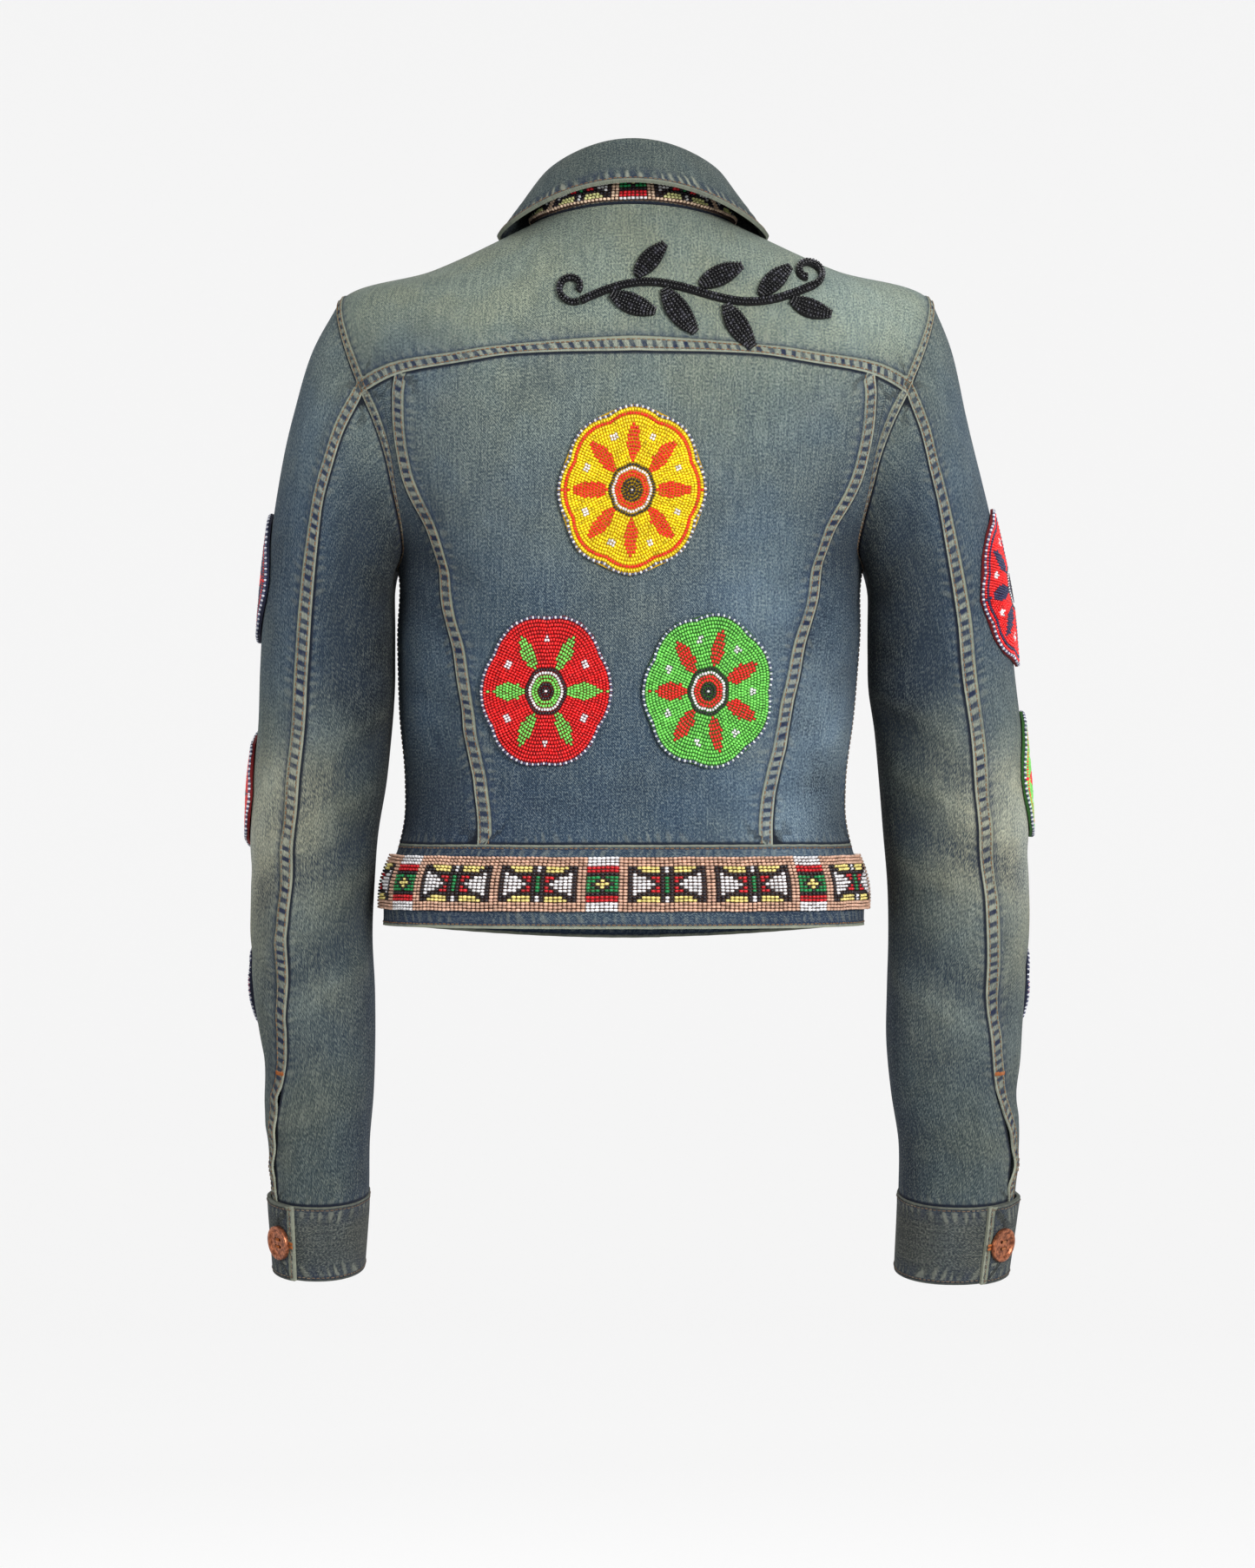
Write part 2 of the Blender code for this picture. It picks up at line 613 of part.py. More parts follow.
PRINCESS = walk(princess_line(), 14)
SIDE_SEAM = walk(straight((0.0, BAND_TOP), (0.0, ARMPIT)), 8)
ARMHOLE_BACK = walk(armhole_line(0.0, YOKE_CORNER_TURN), 6)
ARMHOLE_YOKE = walk(armhole_line(YOKE_CORNER_TURN, SHOULDER_SEAM_TURN), 5, near=YOKE_STRIP)
ARMHOLE_FRONT = walk(armhole_line(SHOULDER_SEAM_TURN, 2.0 * math.pi), 8)
SHOULDER_SEAM = walk(straight(ARMHOLE_YOKE[-1], (NECK_SHOULDER_ANGLE, NECK_LEVEL)), 4, near=ARMHOLE_STRIP)
YOKE_SIDE = walk(yoke_line(ARMHOLE_YOKE[0, 0], PRINCESS[-1, 0]), 4, near=ARMHOLE_STRIP)
YOKE_MIDDLE = walk(yoke_line(PRINCESS[-1, 0], math.pi - PRINCESS[-1, 0]), 10, PRINCESS_STRIP, PRINCESS_STRIP)
BACK_TURNS = armhole_turns(ARMHOLE_BACK)
YOKE_TURNS = armhole_turns(ARMHOLE_YOKE)
FRONT_TURNS = armhole_turns(ARMHOLE_FRONT)
FRONT_TURNS[-1] = 2.0 * math.pi
FRONT_SEAM_COLUMN = 4


def armhole_rims(side, turn):
    """Directions of the seam's rims, for the body and the sleeve, mitred where their cloth would meet inside."""
    _, body_out = armhole_edge(side, turn)
    _, sleeve_out = sleeve(side, math.pi - turn, np.zeros(turn.shape))
    agree = np.sum(body_out * sleeve_out, axis=-1, keepdims=True)
    shared = (body_out + sleeve_out) / (1.0 + np.maximum(agree, 0.0))
    mitred = agree > MITRE_LIMIT
    return np.where(mitred, shared, body_out), np.where(mitred, shared, sleeve_out)


def seam_rise(levels):
    """Strips at the side seam and the armhole lie flat round the armpit, where the sleeve comes close."""
    away = np.where(levels < ARMPIT, (ARMPIT - levels) / FLAT_BELOW, (levels - ARMPIT) / FLAT_ABOVE)
    return SEAM_RISE * smooth_step(away)


def make_body(denim):
    """The back, the yoke and the fronts, cut from one body surface."""
    top = joined(SHOULDER_SEAM, walk(straight(SHOULDER_SEAM[-1], (math.pi - SHOULDER_SEAM[-1, 0], NECK_LEVEL)), 14))
    top = joined(top, on_side(-1, SHOULDER_SEAM)[::-1])
    bottom = joined(YOKE_SIDE, YOKE_MIDDLE, on_side(-1, YOKE_SIDE)[::-1])
    yoke = net(ARMHOLE_YOKE, on_side(-1, ARMHOLE_YOKE), bottom, top)
    points, out = body(yoke[..., 0], yoke[..., 1])
    out[:, 0] = armhole_rims(1, YOKE_TURNS)[0]
    out[:, -1] = armhole_rims(-1, YOKE_TURNS)[0]
    rise = np.zeros(points.shape[:2])
    rise[:2] = SEAM_RISE
    rise[:, :2] = SEAM_RISE
    rise[:, -2:] = SEAM_RISE
    wall("back_yoke", points, out, DENIM, denim, rise=rise)

    bottom = walk(straight(PRINCESS[0], (math.pi - PRINCESS[0, 0], BAND_TOP)), 10, PRINCESS_STRIP, PRINCESS_STRIP)
    centre = net(PRINCESS, on_side(-1, PRINCESS), bottom, YOKE_MIDDLE)
    points, out = body(centre[..., 0], centre[..., 1])
    rise = np.zeros(points.shape[:2])
    rise[:, :2] = SEAM_RISE
    rise[:, -2:] = SEAM_RISE
    wall("back_centre", points, out, DENIM, denim, rise=rise)

    outer_edge = joined(SIDE_SEAM, ARMHOLE_BACK)
    bottom = walk(straight((0.0, BAND_TOP), PRINCESS[0]), 4, near=ARMHOLE_STRIP)
    side_back = net(outer_edge, PRINCESS, bottom, YOKE_SIDE, EDGE_EASE)
    for side, word in ((1, "left"), (-1, "right")):
        place = on_side(side, side_back)
        points, out = body(place[..., 0], place[..., 1])
        out[len(SIDE_SEAM) - 1:, 0] = armhole_rims(side, BACK_TURNS)[0]
        rise = np.zeros(points.shape[:2])
        rise[:, :2] = seam_rise(side_back[:, :2, 1])
        wall("back_side_" + word, points, out, DENIM, denim, rise=rise)
        make_front(side, word, denim)


def front_edge(level, distance):
    """The front place at this level and this far to the left of the middle."""
    angle = -angle_across(np.abs(distance), level)
    return np.stack((np.where(distance < 0.0, -math.pi - angle, angle), level + 0.0 * angle), axis=-1)


def make_front(side, word, denim):
    levels = np.linspace(BAND_TOP, NECK_LEVEL, DENSE)
    middle = walk(front_edge(levels, np.full(DENSE, PLACKET_HALF)), 16)
    outer_edge = joined(SIDE_SEAM, ARMHOLE_FRONT[::-1])
    bottom = walk(straight((0.0, BAND_TOP), middle[0]), 10, near=ARMHOLE_STRIP)
    neck = walk(straight(SHOULDER_SEAM[-1], middle[-1]), 6)
    front = net(outer_edge, middle, bottom, joined(SHOULDER_SEAM, neck), EDGE_EASE)
    place = on_side(side, front)
    points, out = body(place[..., 0], place[..., 1])
    out[len(SIDE_SEAM) - 1:, 0] = armhole_rims(side, FRONT_TURNS[::-1])[0]
    rise = np.zeros(points.shape[:2])
    rise[:, :2] = seam_rise(front[:, :2, 1])
    wall("front_" + word, points, out, DENIM, denim, rise=rise)
    lift = 0.0 if side > 0 else DENIM + LAP_GAP
    reach = PLACKET_HALF - 2.0
    levels = middle[:, 1]
    columns = [front_edge(levels, np.full(len(levels), side * share)) for share in (PLACKET_HALF, 0.0, -reach)]
    strip = np.stack(columns, axis=1)
    points, out = body(strip[..., 0], strip[..., 1])
    wall("placket_" + word, points, out, DENIM, denim, lift=lift)


def make_sleeves(denim):
    back_track = smooth_track(*np.array(BACK_SEAM).T)
    front_track = smooth_track(*np.array(FRONT_SEAM).T)
    upper_turns = joined(YOKE_TURNS[:, None], FRONT_TURNS[:FRONT_SEAM_COLUMN + 1, None])[:, 0]
    under_turns = joined(FRONT_TURNS[FRONT_SEAM_COLUMN:, None], 2.0 * math.pi + BACK_TURNS[:, None])[:, 0]
    reach = np.array(SLEEVE_REACHES, float)[:, None]
    back = back_track(reach)
    front = 180.0 - math.degrees(FRONT_TURNS[FRONT_SEAM_COLUMN]) + front_track(reach)
    upper_start = 180.0 - np.degrees(upper_turns)
    under_start = 180.0 - np.degrees(under_turns)

    strip = np.array([0.0, SLEEVE_STRIP, SLEEVE_STRIP + STRIP_STEP]) / ARC_PER_DEGREE
    settled = smooth_step(reach / 60.0)
    edge = back - (strip * settled + (upper_start[0] - upper_start[:3]) * (1.0 - settled))
    share = (upper_start[3:] - upper_start[2]) / (upper_start[-1] - upper_start[2])
    upper = np.concatenate((edge, edge[:, 2:] + (front - edge[:, 2:]) * share), axis=1)
    share = (under_start - under_start[0]) / (under_start[-1] - under_start[0])
    under = front + (back - 360.0 - front) * share

    for side, word in ((1, "left"), (-1, "right")):
        for name, degrees, turns in (("upper", upper, upper_turns), ("under", under, under_turns)):
            points, out = sleeve(side, np.radians(degrees), reach)
            out[0] = armhole_rims(side, turns)[1]
            rise = np.zeros(points.shape[:2])
            if name == "upper":
                rise[:, :2] = SEAM_RISE
            wall("sleeve_" + name + "_" + word, points, out, DENIM, denim, rise=rise)


def lap_lift(step, climb, thick):
    """How far a band's outer end climbs so that it lies over its under end."""
    return (thick + LAP_GAP) * smooth_step((step - climb[0]) / (climb[1] - climb[0]))


def make_cuffs(cloth):
    steps = np.arange(CUFF_FIRST, CUFF_LAST + 1)
    angle = steps * (2.0 * math.pi / CUFF_STEPS)
    reach = np.linspace(CUFF_TOP, CUFF_FOOT, 3)[:, None]
    lift = CUFF_RISE + lap_lift(steps, CUFF_CLIMB, TWO_PLY)
    for side, word in ((1, "left"), (-1, "right")):
        points, out = sleeve(side, angle[None, :], reach)
        wall("cuff_" + word, points, out, TWO_PLY, cloth, lift=lift[None, :])


def make_waistband(cloth, beads):
    steps = np.arange(BAND_FIRST, BAND_LAST + 1)
    angle = steps * (2.0 * math.pi / BAND_STEPS)
    levels = np.array(BAND_LEVELS)[:, None]
    points, out = body(angle[None, :], levels)
    lift = BAND_RISE + lap_lift(steps, BAND_CLIMB, TWO_PLY)
    wall("waistband", points, out, TWO_PLY, cloth, lift=lift[None, :])
    kept = slice(3, -4)
    lift = BAND_RISE + REST_GAP + BEAD_THICK
    wall("waist_bead_band", points[1:4, kept], out[1:4, kept], BEAD_THICK, beads, lift=lift)


def collar_net(rings, front_turn):
    """Points of collar rings, open at the front: each ring's gap there is given as an angle."""
    rows = []
    for ring, gap in zip(rings, front_turn):
        side, back, front, half_width, back_y, front_y = ring[1:]
        angle = np.linspace(-math.pi / 2 + gap, 1.5 * math.pi - gap, COLLAR_STEPS + 1)
        behind = np.sin(angle) >= 0.0
        far = np.where(behind, back, front)
        deep = np.where(behind, back_y, front_y)
        x = BODY["lean"](NECK_LEVEL) + half_width * np.cos(angle)
        z = side + (far - side) * np.sin(angle) ** 2
        rows.append(np.stack((x, deep * np.sin(angle), z), axis=-1))
    return np.array(rows)


def make_collar(cloth, beads):
    stand = collar_net(STAND_RINGS, [STAND_FRONT] * len(STAND_RINGS))
    leaf = collar_net(LEAF_RINGS, np.linspace(STAND_FRONT, POINT_FRONT, len(LEAF_RINGS)))
    out = net_facing(stand)
    leaf_out = -net_facing(leaf)
    out[-1] = (stand[-1] - leaf[0]) / TWO_PLY
    leaf_out[0] = -out[-1]
    wall("collar_stand", stand, out, TWO_PLY, cloth)
    low, high = NECK_BAND_SHARE
    share = np.array([2.0 * low, 1.0, 2.0 * high])
    foot = stand[0] + (stand[1] - stand[0]) * share[0]
    top = stand[1] + (stand[2] - stand[1]) * (share[2] - 1.0)
    foot_out = unit(out[0] + (out[1] - out[0]) * share[0])
    top_out = unit(out[1] + (out[2] - out[1]) * (share[2] - 1.0))
    band = np.array([foot, stand[1], top])[:, 2:-2]
    band_out = np.array([foot_out, out[1], top_out])[:, 2:-2]
    wall("neck_bead_band", band, band_out, BEAD_THICK, beads, lift=REST_GAP + BEAD_THICK)

    wall("collar", leaf, leaf_out, TWO_PLY, cloth)


def on_back(middle, across, up):
    """Points of the back at small distances from a middle place, and their outward directions."""
    place = back_place(middle[0] + across, middle[1] + up)
    return body(place[..., 0], place[..., 1])


def on_sleeve(side, middle, across, up):
    angle = np.radians(middle[0] + across / ARC_PER_DEGREE)
    return sleeve(side, angle, middle[1] - up)


def disc(name, spot_at, half_width, half_height, petals, rings, corners, allowance, finish):
    """A rosette: a scalloped disc of closed rings that follows the cloth it is sewn to."""
    turn = np.arange(corners) * (2.0 * math.pi / corners)
    reach = 1.0 - ROSETTE_SCALLOP + ROSETTE_SCALLOP * np.abs(np.cos(0.5 * petals * turn))
    share = np.linspace(0.0, 1.0, rings + 1)[1:, None]
    across = np.concatenate(([0.0], (share * half_width * reach * np.cos(turn)).ravel()))
    up = np.concatenate(([0.0], (share * half_height * reach * np.sin(turn)).ravel()))
    points, out = spot_at(across, up)
    low = REST_GAP + allowance
    sheets = np.concatenate((points + out * (low + BEAD_THICK), points + out * low))
    under = len(points)
    faces = []
    for k in range(corners):
        beside = (k + 1) % corners
        top = [(0, 1 + k, 1 + beside)]
        for ring in range(rings - 1):
            a, b = 1 + ring * corners + k, 1 + ring * corners + beside
            top += [(a, a + corners, b + corners), (a, b + corners, b)]
        faces += top + [tuple(under + v for v in face[::-1]) for face in top]
        a, b = 1 + (rings - 1) * corners + k, 1 + (rings - 1) * corners + beside
        faces += [(a, a + under, b + under), (a, b + under, b)]
    grown = np.cross(sheets[1] - sheets[0], sheets[2] - sheets[0])
    if float(np.dot(grown, out[0])) < 0.0:
        faces = [face[::-1] for face in faces]
    return solid(name, sheets, faces, finish)


def ribbon(name, line, half_widths, columns, finish):
    """A beaded ribbon on the yoke along a line of places, as wide as its half widths say."""
    run = unit(np.gradient(line, axis=0))
    beside = np.stack((-run[:, 1], run[:, 0]), axis=-1)
    share = np.linspace(-1.0, 1.0, columns)[None, :, None]
    places = line[:, None] + beside[:, None] * half_widths[:, None, None] * share
    points, out = on_back((0.0, 0.0), places[..., 0], places[..., 1])
    wall(name, points, out, BEAD_THICK, finish, lift=REST_GAP + TIGHT_ALLOWANCE + BEAD_THICK)


def stem_point(share):
    start, stop = np.array(STEM_ENDS)
    share = np.asarray(share, float)[..., None]
    wave = STEM_WAVE * np.sin(2.0 * math.pi * share)
    return start + (stop - start) * share + wave * np.array((0.0, 1.0))


def make_spray(finish):
    stem = stem_point(np.linspace(0.0, 1.0, STEM_STEPS))
    ribbon("spray_stem", stem, np.full(STEM_STEPS, STEM_HALF), 2, finish)
    for number, (place, way, length, half_width, lean) in enumerate(SPRAY_LEAVES, start=1):
        root = stem_point(place)
        run = unit(stem_point(place + 0.02) - root)
        beside = way * np.array((-run[1], run[0]))
        lean = math.radians(lean)
        aim = unit(run * math.cos(lean) + beside * math.sin(lean))
        step = np.linspace(0.0, 1.0, LEAF_STEPS)[:, None]
        bend = run * (LEAF_BEND * length) * step**2
        line = root + aim * (length * step) + bend + aim * ((STEM_HALF + LEAF_STEM_GAP) / math.sin(lean))
        width = LEAF_TIP + half_width * np.sin(math.pi * (0.04 + 0.92 * step[:, 0])) ** 0.8
        ribbon(f"spray_leaf_{number}", line, width, 3, finish)
    for name, end, way in (("left", 0, 1.0), ("right", 1, -1.0)):
        make_curl("spray_curl_" + name, end, way, finish)


def make_curl(name, end, way, finish):
    """A curl that carries on from one end of the stem and winds inwards."""
    root = stem_point(float(end))
    run = unit(root - stem_point(abs(end - 0.02)))
    beside = np.array((-run[1], run[0])) * way
    turn = np.linspace(0.0, CURL_TURN, CURL_STEPS)[:, None]
    radius = CURL_RADII[0] + (CURL_RADII[1] - CURL_RADII[0]) * turn / CURL_TURN
    start = root + run * 0.8
    middle = start + beside * CURL_RADII[0]
    line = middle + radius * (np.sin(turn) * run - np.cos(turn) * beside)
    ribbon(name, line, np.full(CURL_STEPS, CURL_HALF), 2, finish)


def make_rosettes(finishes):
    for name, across, up, half_width, half_height, petals, colour in BACK_ROSETTES:
        def spot_at(dx, dz, middle=(across, up)):
            return on_back(middle, dx, dz)

        disc(name, spot_at, half_width, half_height, petals, 3, 24, CURVE_ALLOWANCE, finishes[colour])
    for name, side, angle, reach, half_width, half_height, petals, colour in SLEEVE_ROSETTES:
        def spot_at(dx, dz, side=side, middle=(angle, reach)):
            return on_sleeve(side, middle, dx, dz)

        rings = round(half_height / 11.0)
        disc(name, spot_at, half_width, half_height, petals, rings, 20, TIGHT_ALLOWANCE, finishes[colour])


def button(name, spot, out, profile, finish, corners=18):
    """A round button turned from its profile of (radius, height) and seated on the cloth."""
    form = bmesh.new()
    line = [form.verts.new((radius, 0.0, height)) for radius, height in profile]
    edges = [form.edges.new(pair) for pair in zip(line, line[1:])]
    bmesh.ops.spin(form, geom=line + edges, cent=(0, 0, 0), axis=(0, 0, 1), dvec=(0, 0, 0),
                   angle=2.0 * math.pi, steps=corners, use_merge=False, use_duplicate=False)
    bmesh.ops.remove_doubles(form, verts=form.verts, dist=0.0005)
    bmesh.ops.recalc_face_normals(form, faces=form.faces)
    turn = Vector(out).to_track_quat("Z", "Y").to_matrix().to_4x4()
    form.transform(turn)
    mesh = bpy.data.meshes.new(name)
    form.transform(Matrix.Translation(Vector(spot) - Vector((0.0, 0.0, NECK_HEIGHT))))
    form.transform(Matrix.Scale(METRE, 4))
    form.to_mesh(mesh)
    form.free()
    mesh.materials.append(finish)
    mesh.shade_smooth()
    mesh.set_sharp_from_angle(angle=math.radians(35.0))
    made = bpy.data.objects.new(name, mesh)
    bpy.context.collection.objects.link(made)


def dished(radius, height):
    """The profile of a sewn button: flat underneath, a rounded rim and a sunk middle."""
    return ((0.0, 0.0), (radius - 2.0, 0.0), (radius, 0.9), (radius, height - 0.8), (radius - 0.9, height),
            (radius - 2.4, height - 0.2), (radius - 3.6, height - 1.0), (0.0, height - 1.0))


def domed(radius, height):
    """The profile of a riveted metal button: a short shank under a rimmed, domed cap."""
    return ((0.0, 0.0), (0.5 * radius, 0.0), (radius - 0.5, 1.2), (radius, 1.8), (radius - 0.8, height - 0.5),
            (0.0, height))


def make_buttons(copper, steel):
    seat = REST_GAP + 0.1
    for side, word in ((1, "left"), (-1, "right")):
        points, out = sleeve(side, CUFF_BUTTON["angle"], CUFF_BUTTON["reach"])
        lift = CUFF_RISE + TWO_PLY + LAP_GAP + seat
        profile = dished(CUFF_BUTTON["radius"], CUFF_BUTTON["height"])
        button("cuff_button_" + word, points + out * lift, out, profile, copper)
    levels = [(level, DENIM + LAP_GAP) for level in FRONT_BUTTON_LEVELS]
    levels.insert(0, (BAND_BUTTON_LEVEL, BAND_RISE + TWO_PLY + LAP_GAP))
    for number, (level, lift) in enumerate(levels, start=1):
        points, out = body(np.array(-math.pi / 2), np.array(level))
        profile = domed(FRONT_BUTTON["radius"], FRONT_BUTTON["height"])
        button(f"front_button_{number}", points + out * (lift + seat), out, profile, steel, corners=12)


def make_jacket():
    denim = material("washed_denim", DENIM_COLOUR, 0.85)
    dark = material("dark_denim", CUFF_COLOUR, 0.85)
    beads = {name: material("beads_" + name, colour, 0.35) for name, colour in BEAD_COLOURS.items()}
    make_body(denim)
    make_sleeves(denim)
    make_cuffs(dark)
    make_waistband(denim, beads["tan"])
    make_collar(denim, beads["tan"])
    make_rosettes(beads)
    make_spray(beads["black"])
    make_buttons(material("copper", COPPER_COLOUR, 0.38, 1.0), material("dull_steel", STEEL_COLOUR, 0.4, 1.0))


make_jacket()
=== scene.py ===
"""A cropped denim jacket in its worn form, dressed piece by piece in the order in which it is sewn."""
import math

import bpy
import numpy as np
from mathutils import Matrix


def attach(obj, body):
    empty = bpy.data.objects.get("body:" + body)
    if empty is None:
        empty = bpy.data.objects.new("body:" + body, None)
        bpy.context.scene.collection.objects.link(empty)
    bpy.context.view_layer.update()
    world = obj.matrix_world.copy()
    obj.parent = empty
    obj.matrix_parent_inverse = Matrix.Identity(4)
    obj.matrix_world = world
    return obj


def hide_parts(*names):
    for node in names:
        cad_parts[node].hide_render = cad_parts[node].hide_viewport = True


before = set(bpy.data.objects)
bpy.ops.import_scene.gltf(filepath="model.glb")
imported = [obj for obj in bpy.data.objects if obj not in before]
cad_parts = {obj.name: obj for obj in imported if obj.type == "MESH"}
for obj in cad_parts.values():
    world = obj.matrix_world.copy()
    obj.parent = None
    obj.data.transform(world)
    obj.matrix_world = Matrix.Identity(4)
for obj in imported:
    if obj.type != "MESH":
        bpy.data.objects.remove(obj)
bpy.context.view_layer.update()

# Centre back panel: the wide middle piece of the back, one layer of washed twelve ounce denim. Both its long
# edges are folded over the side panels and felled down, which leaves a thick strip that ropes in the wash.
# Heights here are millimetres above the back hem; angles run from the wearer's left side round to the back.
METRE, NECK_HEIGHT, DENIM = 0.001, 447.0, 1.2
RING_COLUMNS = ("level", "side", "back", "front", "half_width", "back_y", "front_y", "square", "lean")
RINGS = (
    (0, 0, 0, -12, 153.0, 98, 108, 2.35, 5.0),
    (28, 28, 28, 18, 152.0, 96, 107, 2.35, 4.5),
    (52, 52, 52, 44, 143.5, 91, 105, 2.30, 4.0),
    (66, 66, 66, 60, 140.6, 89, 105, 2.25, 4.0),
    (92, 92, 92, 88, 140.2, 88, 107, 2.20, 3.8),
    (135, 135, 136, 132, 144.5, 92, 112, 2.20, 3.0),
    (180, 180, 184, 178, 147.0, 99, 118, 2.25, 1.8),
    (228, 228, 238, 222, 149.0, 104, 121, 2.30, 0.6),
    (285, 285, 289, 262, 177.0, 106, 116, 2.30, -0.8),
    (345, 345, 334, 300, 194.0, 103, 104, 2.20, -2.0),
    (398, 398, 371, 332, 190.0, 96, 90, 2.05, -2.6),
    (458, 418, 414, 366, 130.0, 79, 78, 2.00, -2.0),
    (528, 447, 455, 398, 66.0, 56, 62, 2.00, -1.0),
)
BAND_TOP, ARMPIT, SHOULDER_TIP, NECK_LEVEL = 52.0, 228.0, 398.0, 528.0
ARMHOLE_MIDDLE, ARMHOLE_HALF = 0.5 * (SHOULDER_TIP + ARMPIT), 0.5 * (SHOULDER_TIP - ARMPIT)
ARMHOLE_REACH, ARMHOLE_SAG = math.radians(33.0), 0.18
YOKE_CORNER_TURN = math.radians(107.0)
YOKE_SEAM = ((0.0, 359.0), (50.0, 358.3), (79.0, 357.0), (107.0, 353.0), (150.0, 346.0))
PRINCESS_SEAM = ((92.0, 52.0), (101.0, 118.0), (110.0, 168.0), (120.0, 210.0), (134.0, 256.0), (150.0, 346.0))
# A felled strip: its width, the step beyond it, where its columns lie across it, and how far it stands proud.
STRIP, STRIP_STEP, STRIP_SHARES, SEAM_RISE = 9.5, 1.2, (0.0, 0.34, 0.67, 1.0), 0.8
STRIP_COLUMNS = len(STRIP_SHARES)
# Points on a dense line, and how often a place is halved or drawn closer when it is looked for.
DENSE, HALVINGS, ROUNDS, ROUND_SHARE = 90, 36, 28, 0.8
TURN_STEP, LEVEL_STEP, SIDE_FADE = 0.012, 1.5, 30.0
# Folds and creases: from across and up, to across and up, width, rise.
BACK_FOLDS = (
    (138, 240, 116, 178, 19, -3.4), (128, 64, 116, 140, 16, -2.6), (60, 66, 0, 86, 18, -1.6),
    (-138, 240, -114, 182, 19, -3.6), (-129, 64, -110, 128, 16, -2.8), (-166, 318, -128, 258, 18, -2.2),
    (166, 318, 132, 262, 18, -2.0),
)
BACK_CREASES = (
    (150, 236, 96, 214, 7, -1.2), (148, 222, 104, 190, 8, 1.1), (140, 150, 96, 128, 8, -1.0),
    (136, 132, 80, 118, 7, 0.9), (132, 98, 84, 92, 8, -1.1), (-150, 238, -98, 218, 7, -1.3),
    (-146, 220, -100, 196, 8, 1.1), (-140, 158, -92, 140, 8, -1.1), (-134, 120, -74, 108, 7, 1.0),
    (-130, 92, -88, 84, 8, -1.2), (70, 78, 18, 70, 6, -0.8), (-20, 92, -74, 74, 7, -0.9),
    (36, 210, 6, 196, 8, -0.7), (-26, 204, 4, 190, 8, 0.6), (88, 318, 60, 338, 8, -0.8),
    (-84, 316, -58, 336, 8, -0.8), (-148, 336, -108, 322, 7, 0.9), (148, 338, 110, 326, 7, 0.9),
)
FRONT_FOLDS = (
    (136, 230, 92, 176, 19, -3.4), (118, 62, 96, 130, 16, -2.8), (150, 300, 118, 226, 19, -2.8),
    (-136, 230, -96, 170, 19, -3.2), (-116, 62, -98, 122, 16, -2.6), (-150, 300, -120, 232, 19, -3.0),
)
FRONT_CREASES = (
    (140, 214, 70, 200, 8, -1.3), (132, 150, 64, 128, 8, -1.1), (120, 104, 52, 84, 7, 1.0),
    (98, 70, 40, 96, 8, -1.2), (146, 262, 104, 252, 8, 1.1), (104, 330, 60, 300, 9, -1.0),
    (-138, 220, -72, 196, 8, -1.2), (-130, 146, -70, 136, 8, -1.2), (-118, 98, -48, 78, 7, 1.0),
    (-92, 68, -44, 92, 8, -1.1), (-144, 258, -102, 240, 8, 1.1), (-100, 326, -64, 298, 9, -1.0),
)


def smooth_track(places, values):
    """A smooth line through table rows, read at any place between them."""
    steps = np.diff(places)
    slopes = np.diff(values) / steps
    tilt = np.empty(len(values))
    tilt[0], tilt[-1] = slopes[0], slopes[-1]
    tilt[1:-1] = (slopes[:-1] * steps[1:] + slopes[1:] * steps[:-1]) / (steps[:-1] + steps[1:])

    def read(place):
        place = np.clip(place, places[0], places[-1])
        row = np.clip(np.searchsorted(places, place, side="right") - 1, 0, len(steps) - 1)
        gap = steps[row]
        t = (place - places[row]) / gap
        start = (2 * t**3 - 3 * t**2 + 1) * values[row] + (t**3 - 2 * t**2 + t) * gap * tilt[row]
        stop = (3 * t**2 - 2 * t**3) * values[row + 1] + (t**3 - t**2) * gap * tilt[row + 1]
        return start + stop

    return read


def tracks_of(table, names):
    """A smooth track down each named column of a table, read at any place of its first column."""
    data = np.array(table, float)
    return {name: smooth_track(data[:, 0], data[:, k]) for k, name in enumerate(names) if k}


def smooth_step(share):
    share = np.clip(share, 0.0, 1.0)
    return share * share * (3.0 - 2.0 * share)


def unit(vectors):
    return vectors / np.linalg.norm(vectors, axis=-1, keepdims=True)


def arc(line):
    """Lengths along a line of points, from its start."""
    return np.concatenate(([0.0], np.cumsum(np.linalg.norm(np.diff(line, axis=0), axis=1))))


def read_line(line, length, stops):
    """What a line holds at these lengths along it."""
    return np.stack([np.interp(stops, length, line[:, k]) for k in range(line.shape[1])], axis=-1)


def egg(angle, square):
    """A circle drawn out towards a square."""
    across, along = np.cos(angle), np.sin(angle)
    reach = (np.abs(across) ** square + np.abs(along) ** square) ** (-1.0 / square)
    return reach * across, reach * along


def crease(across, up, folds):
    """How far soft folds raise or sink the cloth at a place."""
    rise = np.zeros(np.broadcast(across, up).shape)
    for from_across, from_up, to_across, to_up, width, height in folds:
        run = (to_across - from_across, to_up - from_up)
        share = ((across - from_across) * run[0] + (up - from_up) * run[1]) / (run[0] ** 2 + run[1] ** 2)
        share = np.clip(share, 0.0, 1.0)
        away = (across - from_across - share * run[0]) ** 2 + (up - from_up - share * run[1]) ** 2
        rise = rise + height * np.exp(-away / width**2)
    return rise


BODY = tracks_of(RINGS, RING_COLUMNS)


def bare_body(angle, level):
    """Points of the body before it is folded."""
    across, along = egg(angle, BODY["square"](level))
    behind = along >= 0.0
    deep = np.where(behind, BODY["back_y"](level), BODY["front_y"](level))
    far = np.where(behind, BODY["back"](level), BODY["front"](level))
    side = BODY["side"](level)
    x = BODY["lean"](level) + BODY["half_width"](level) * across
    return np.stack(np.broadcast_arrays(x, deep * along, side + (far - side) * np.sin(angle) ** 2), axis=-1)


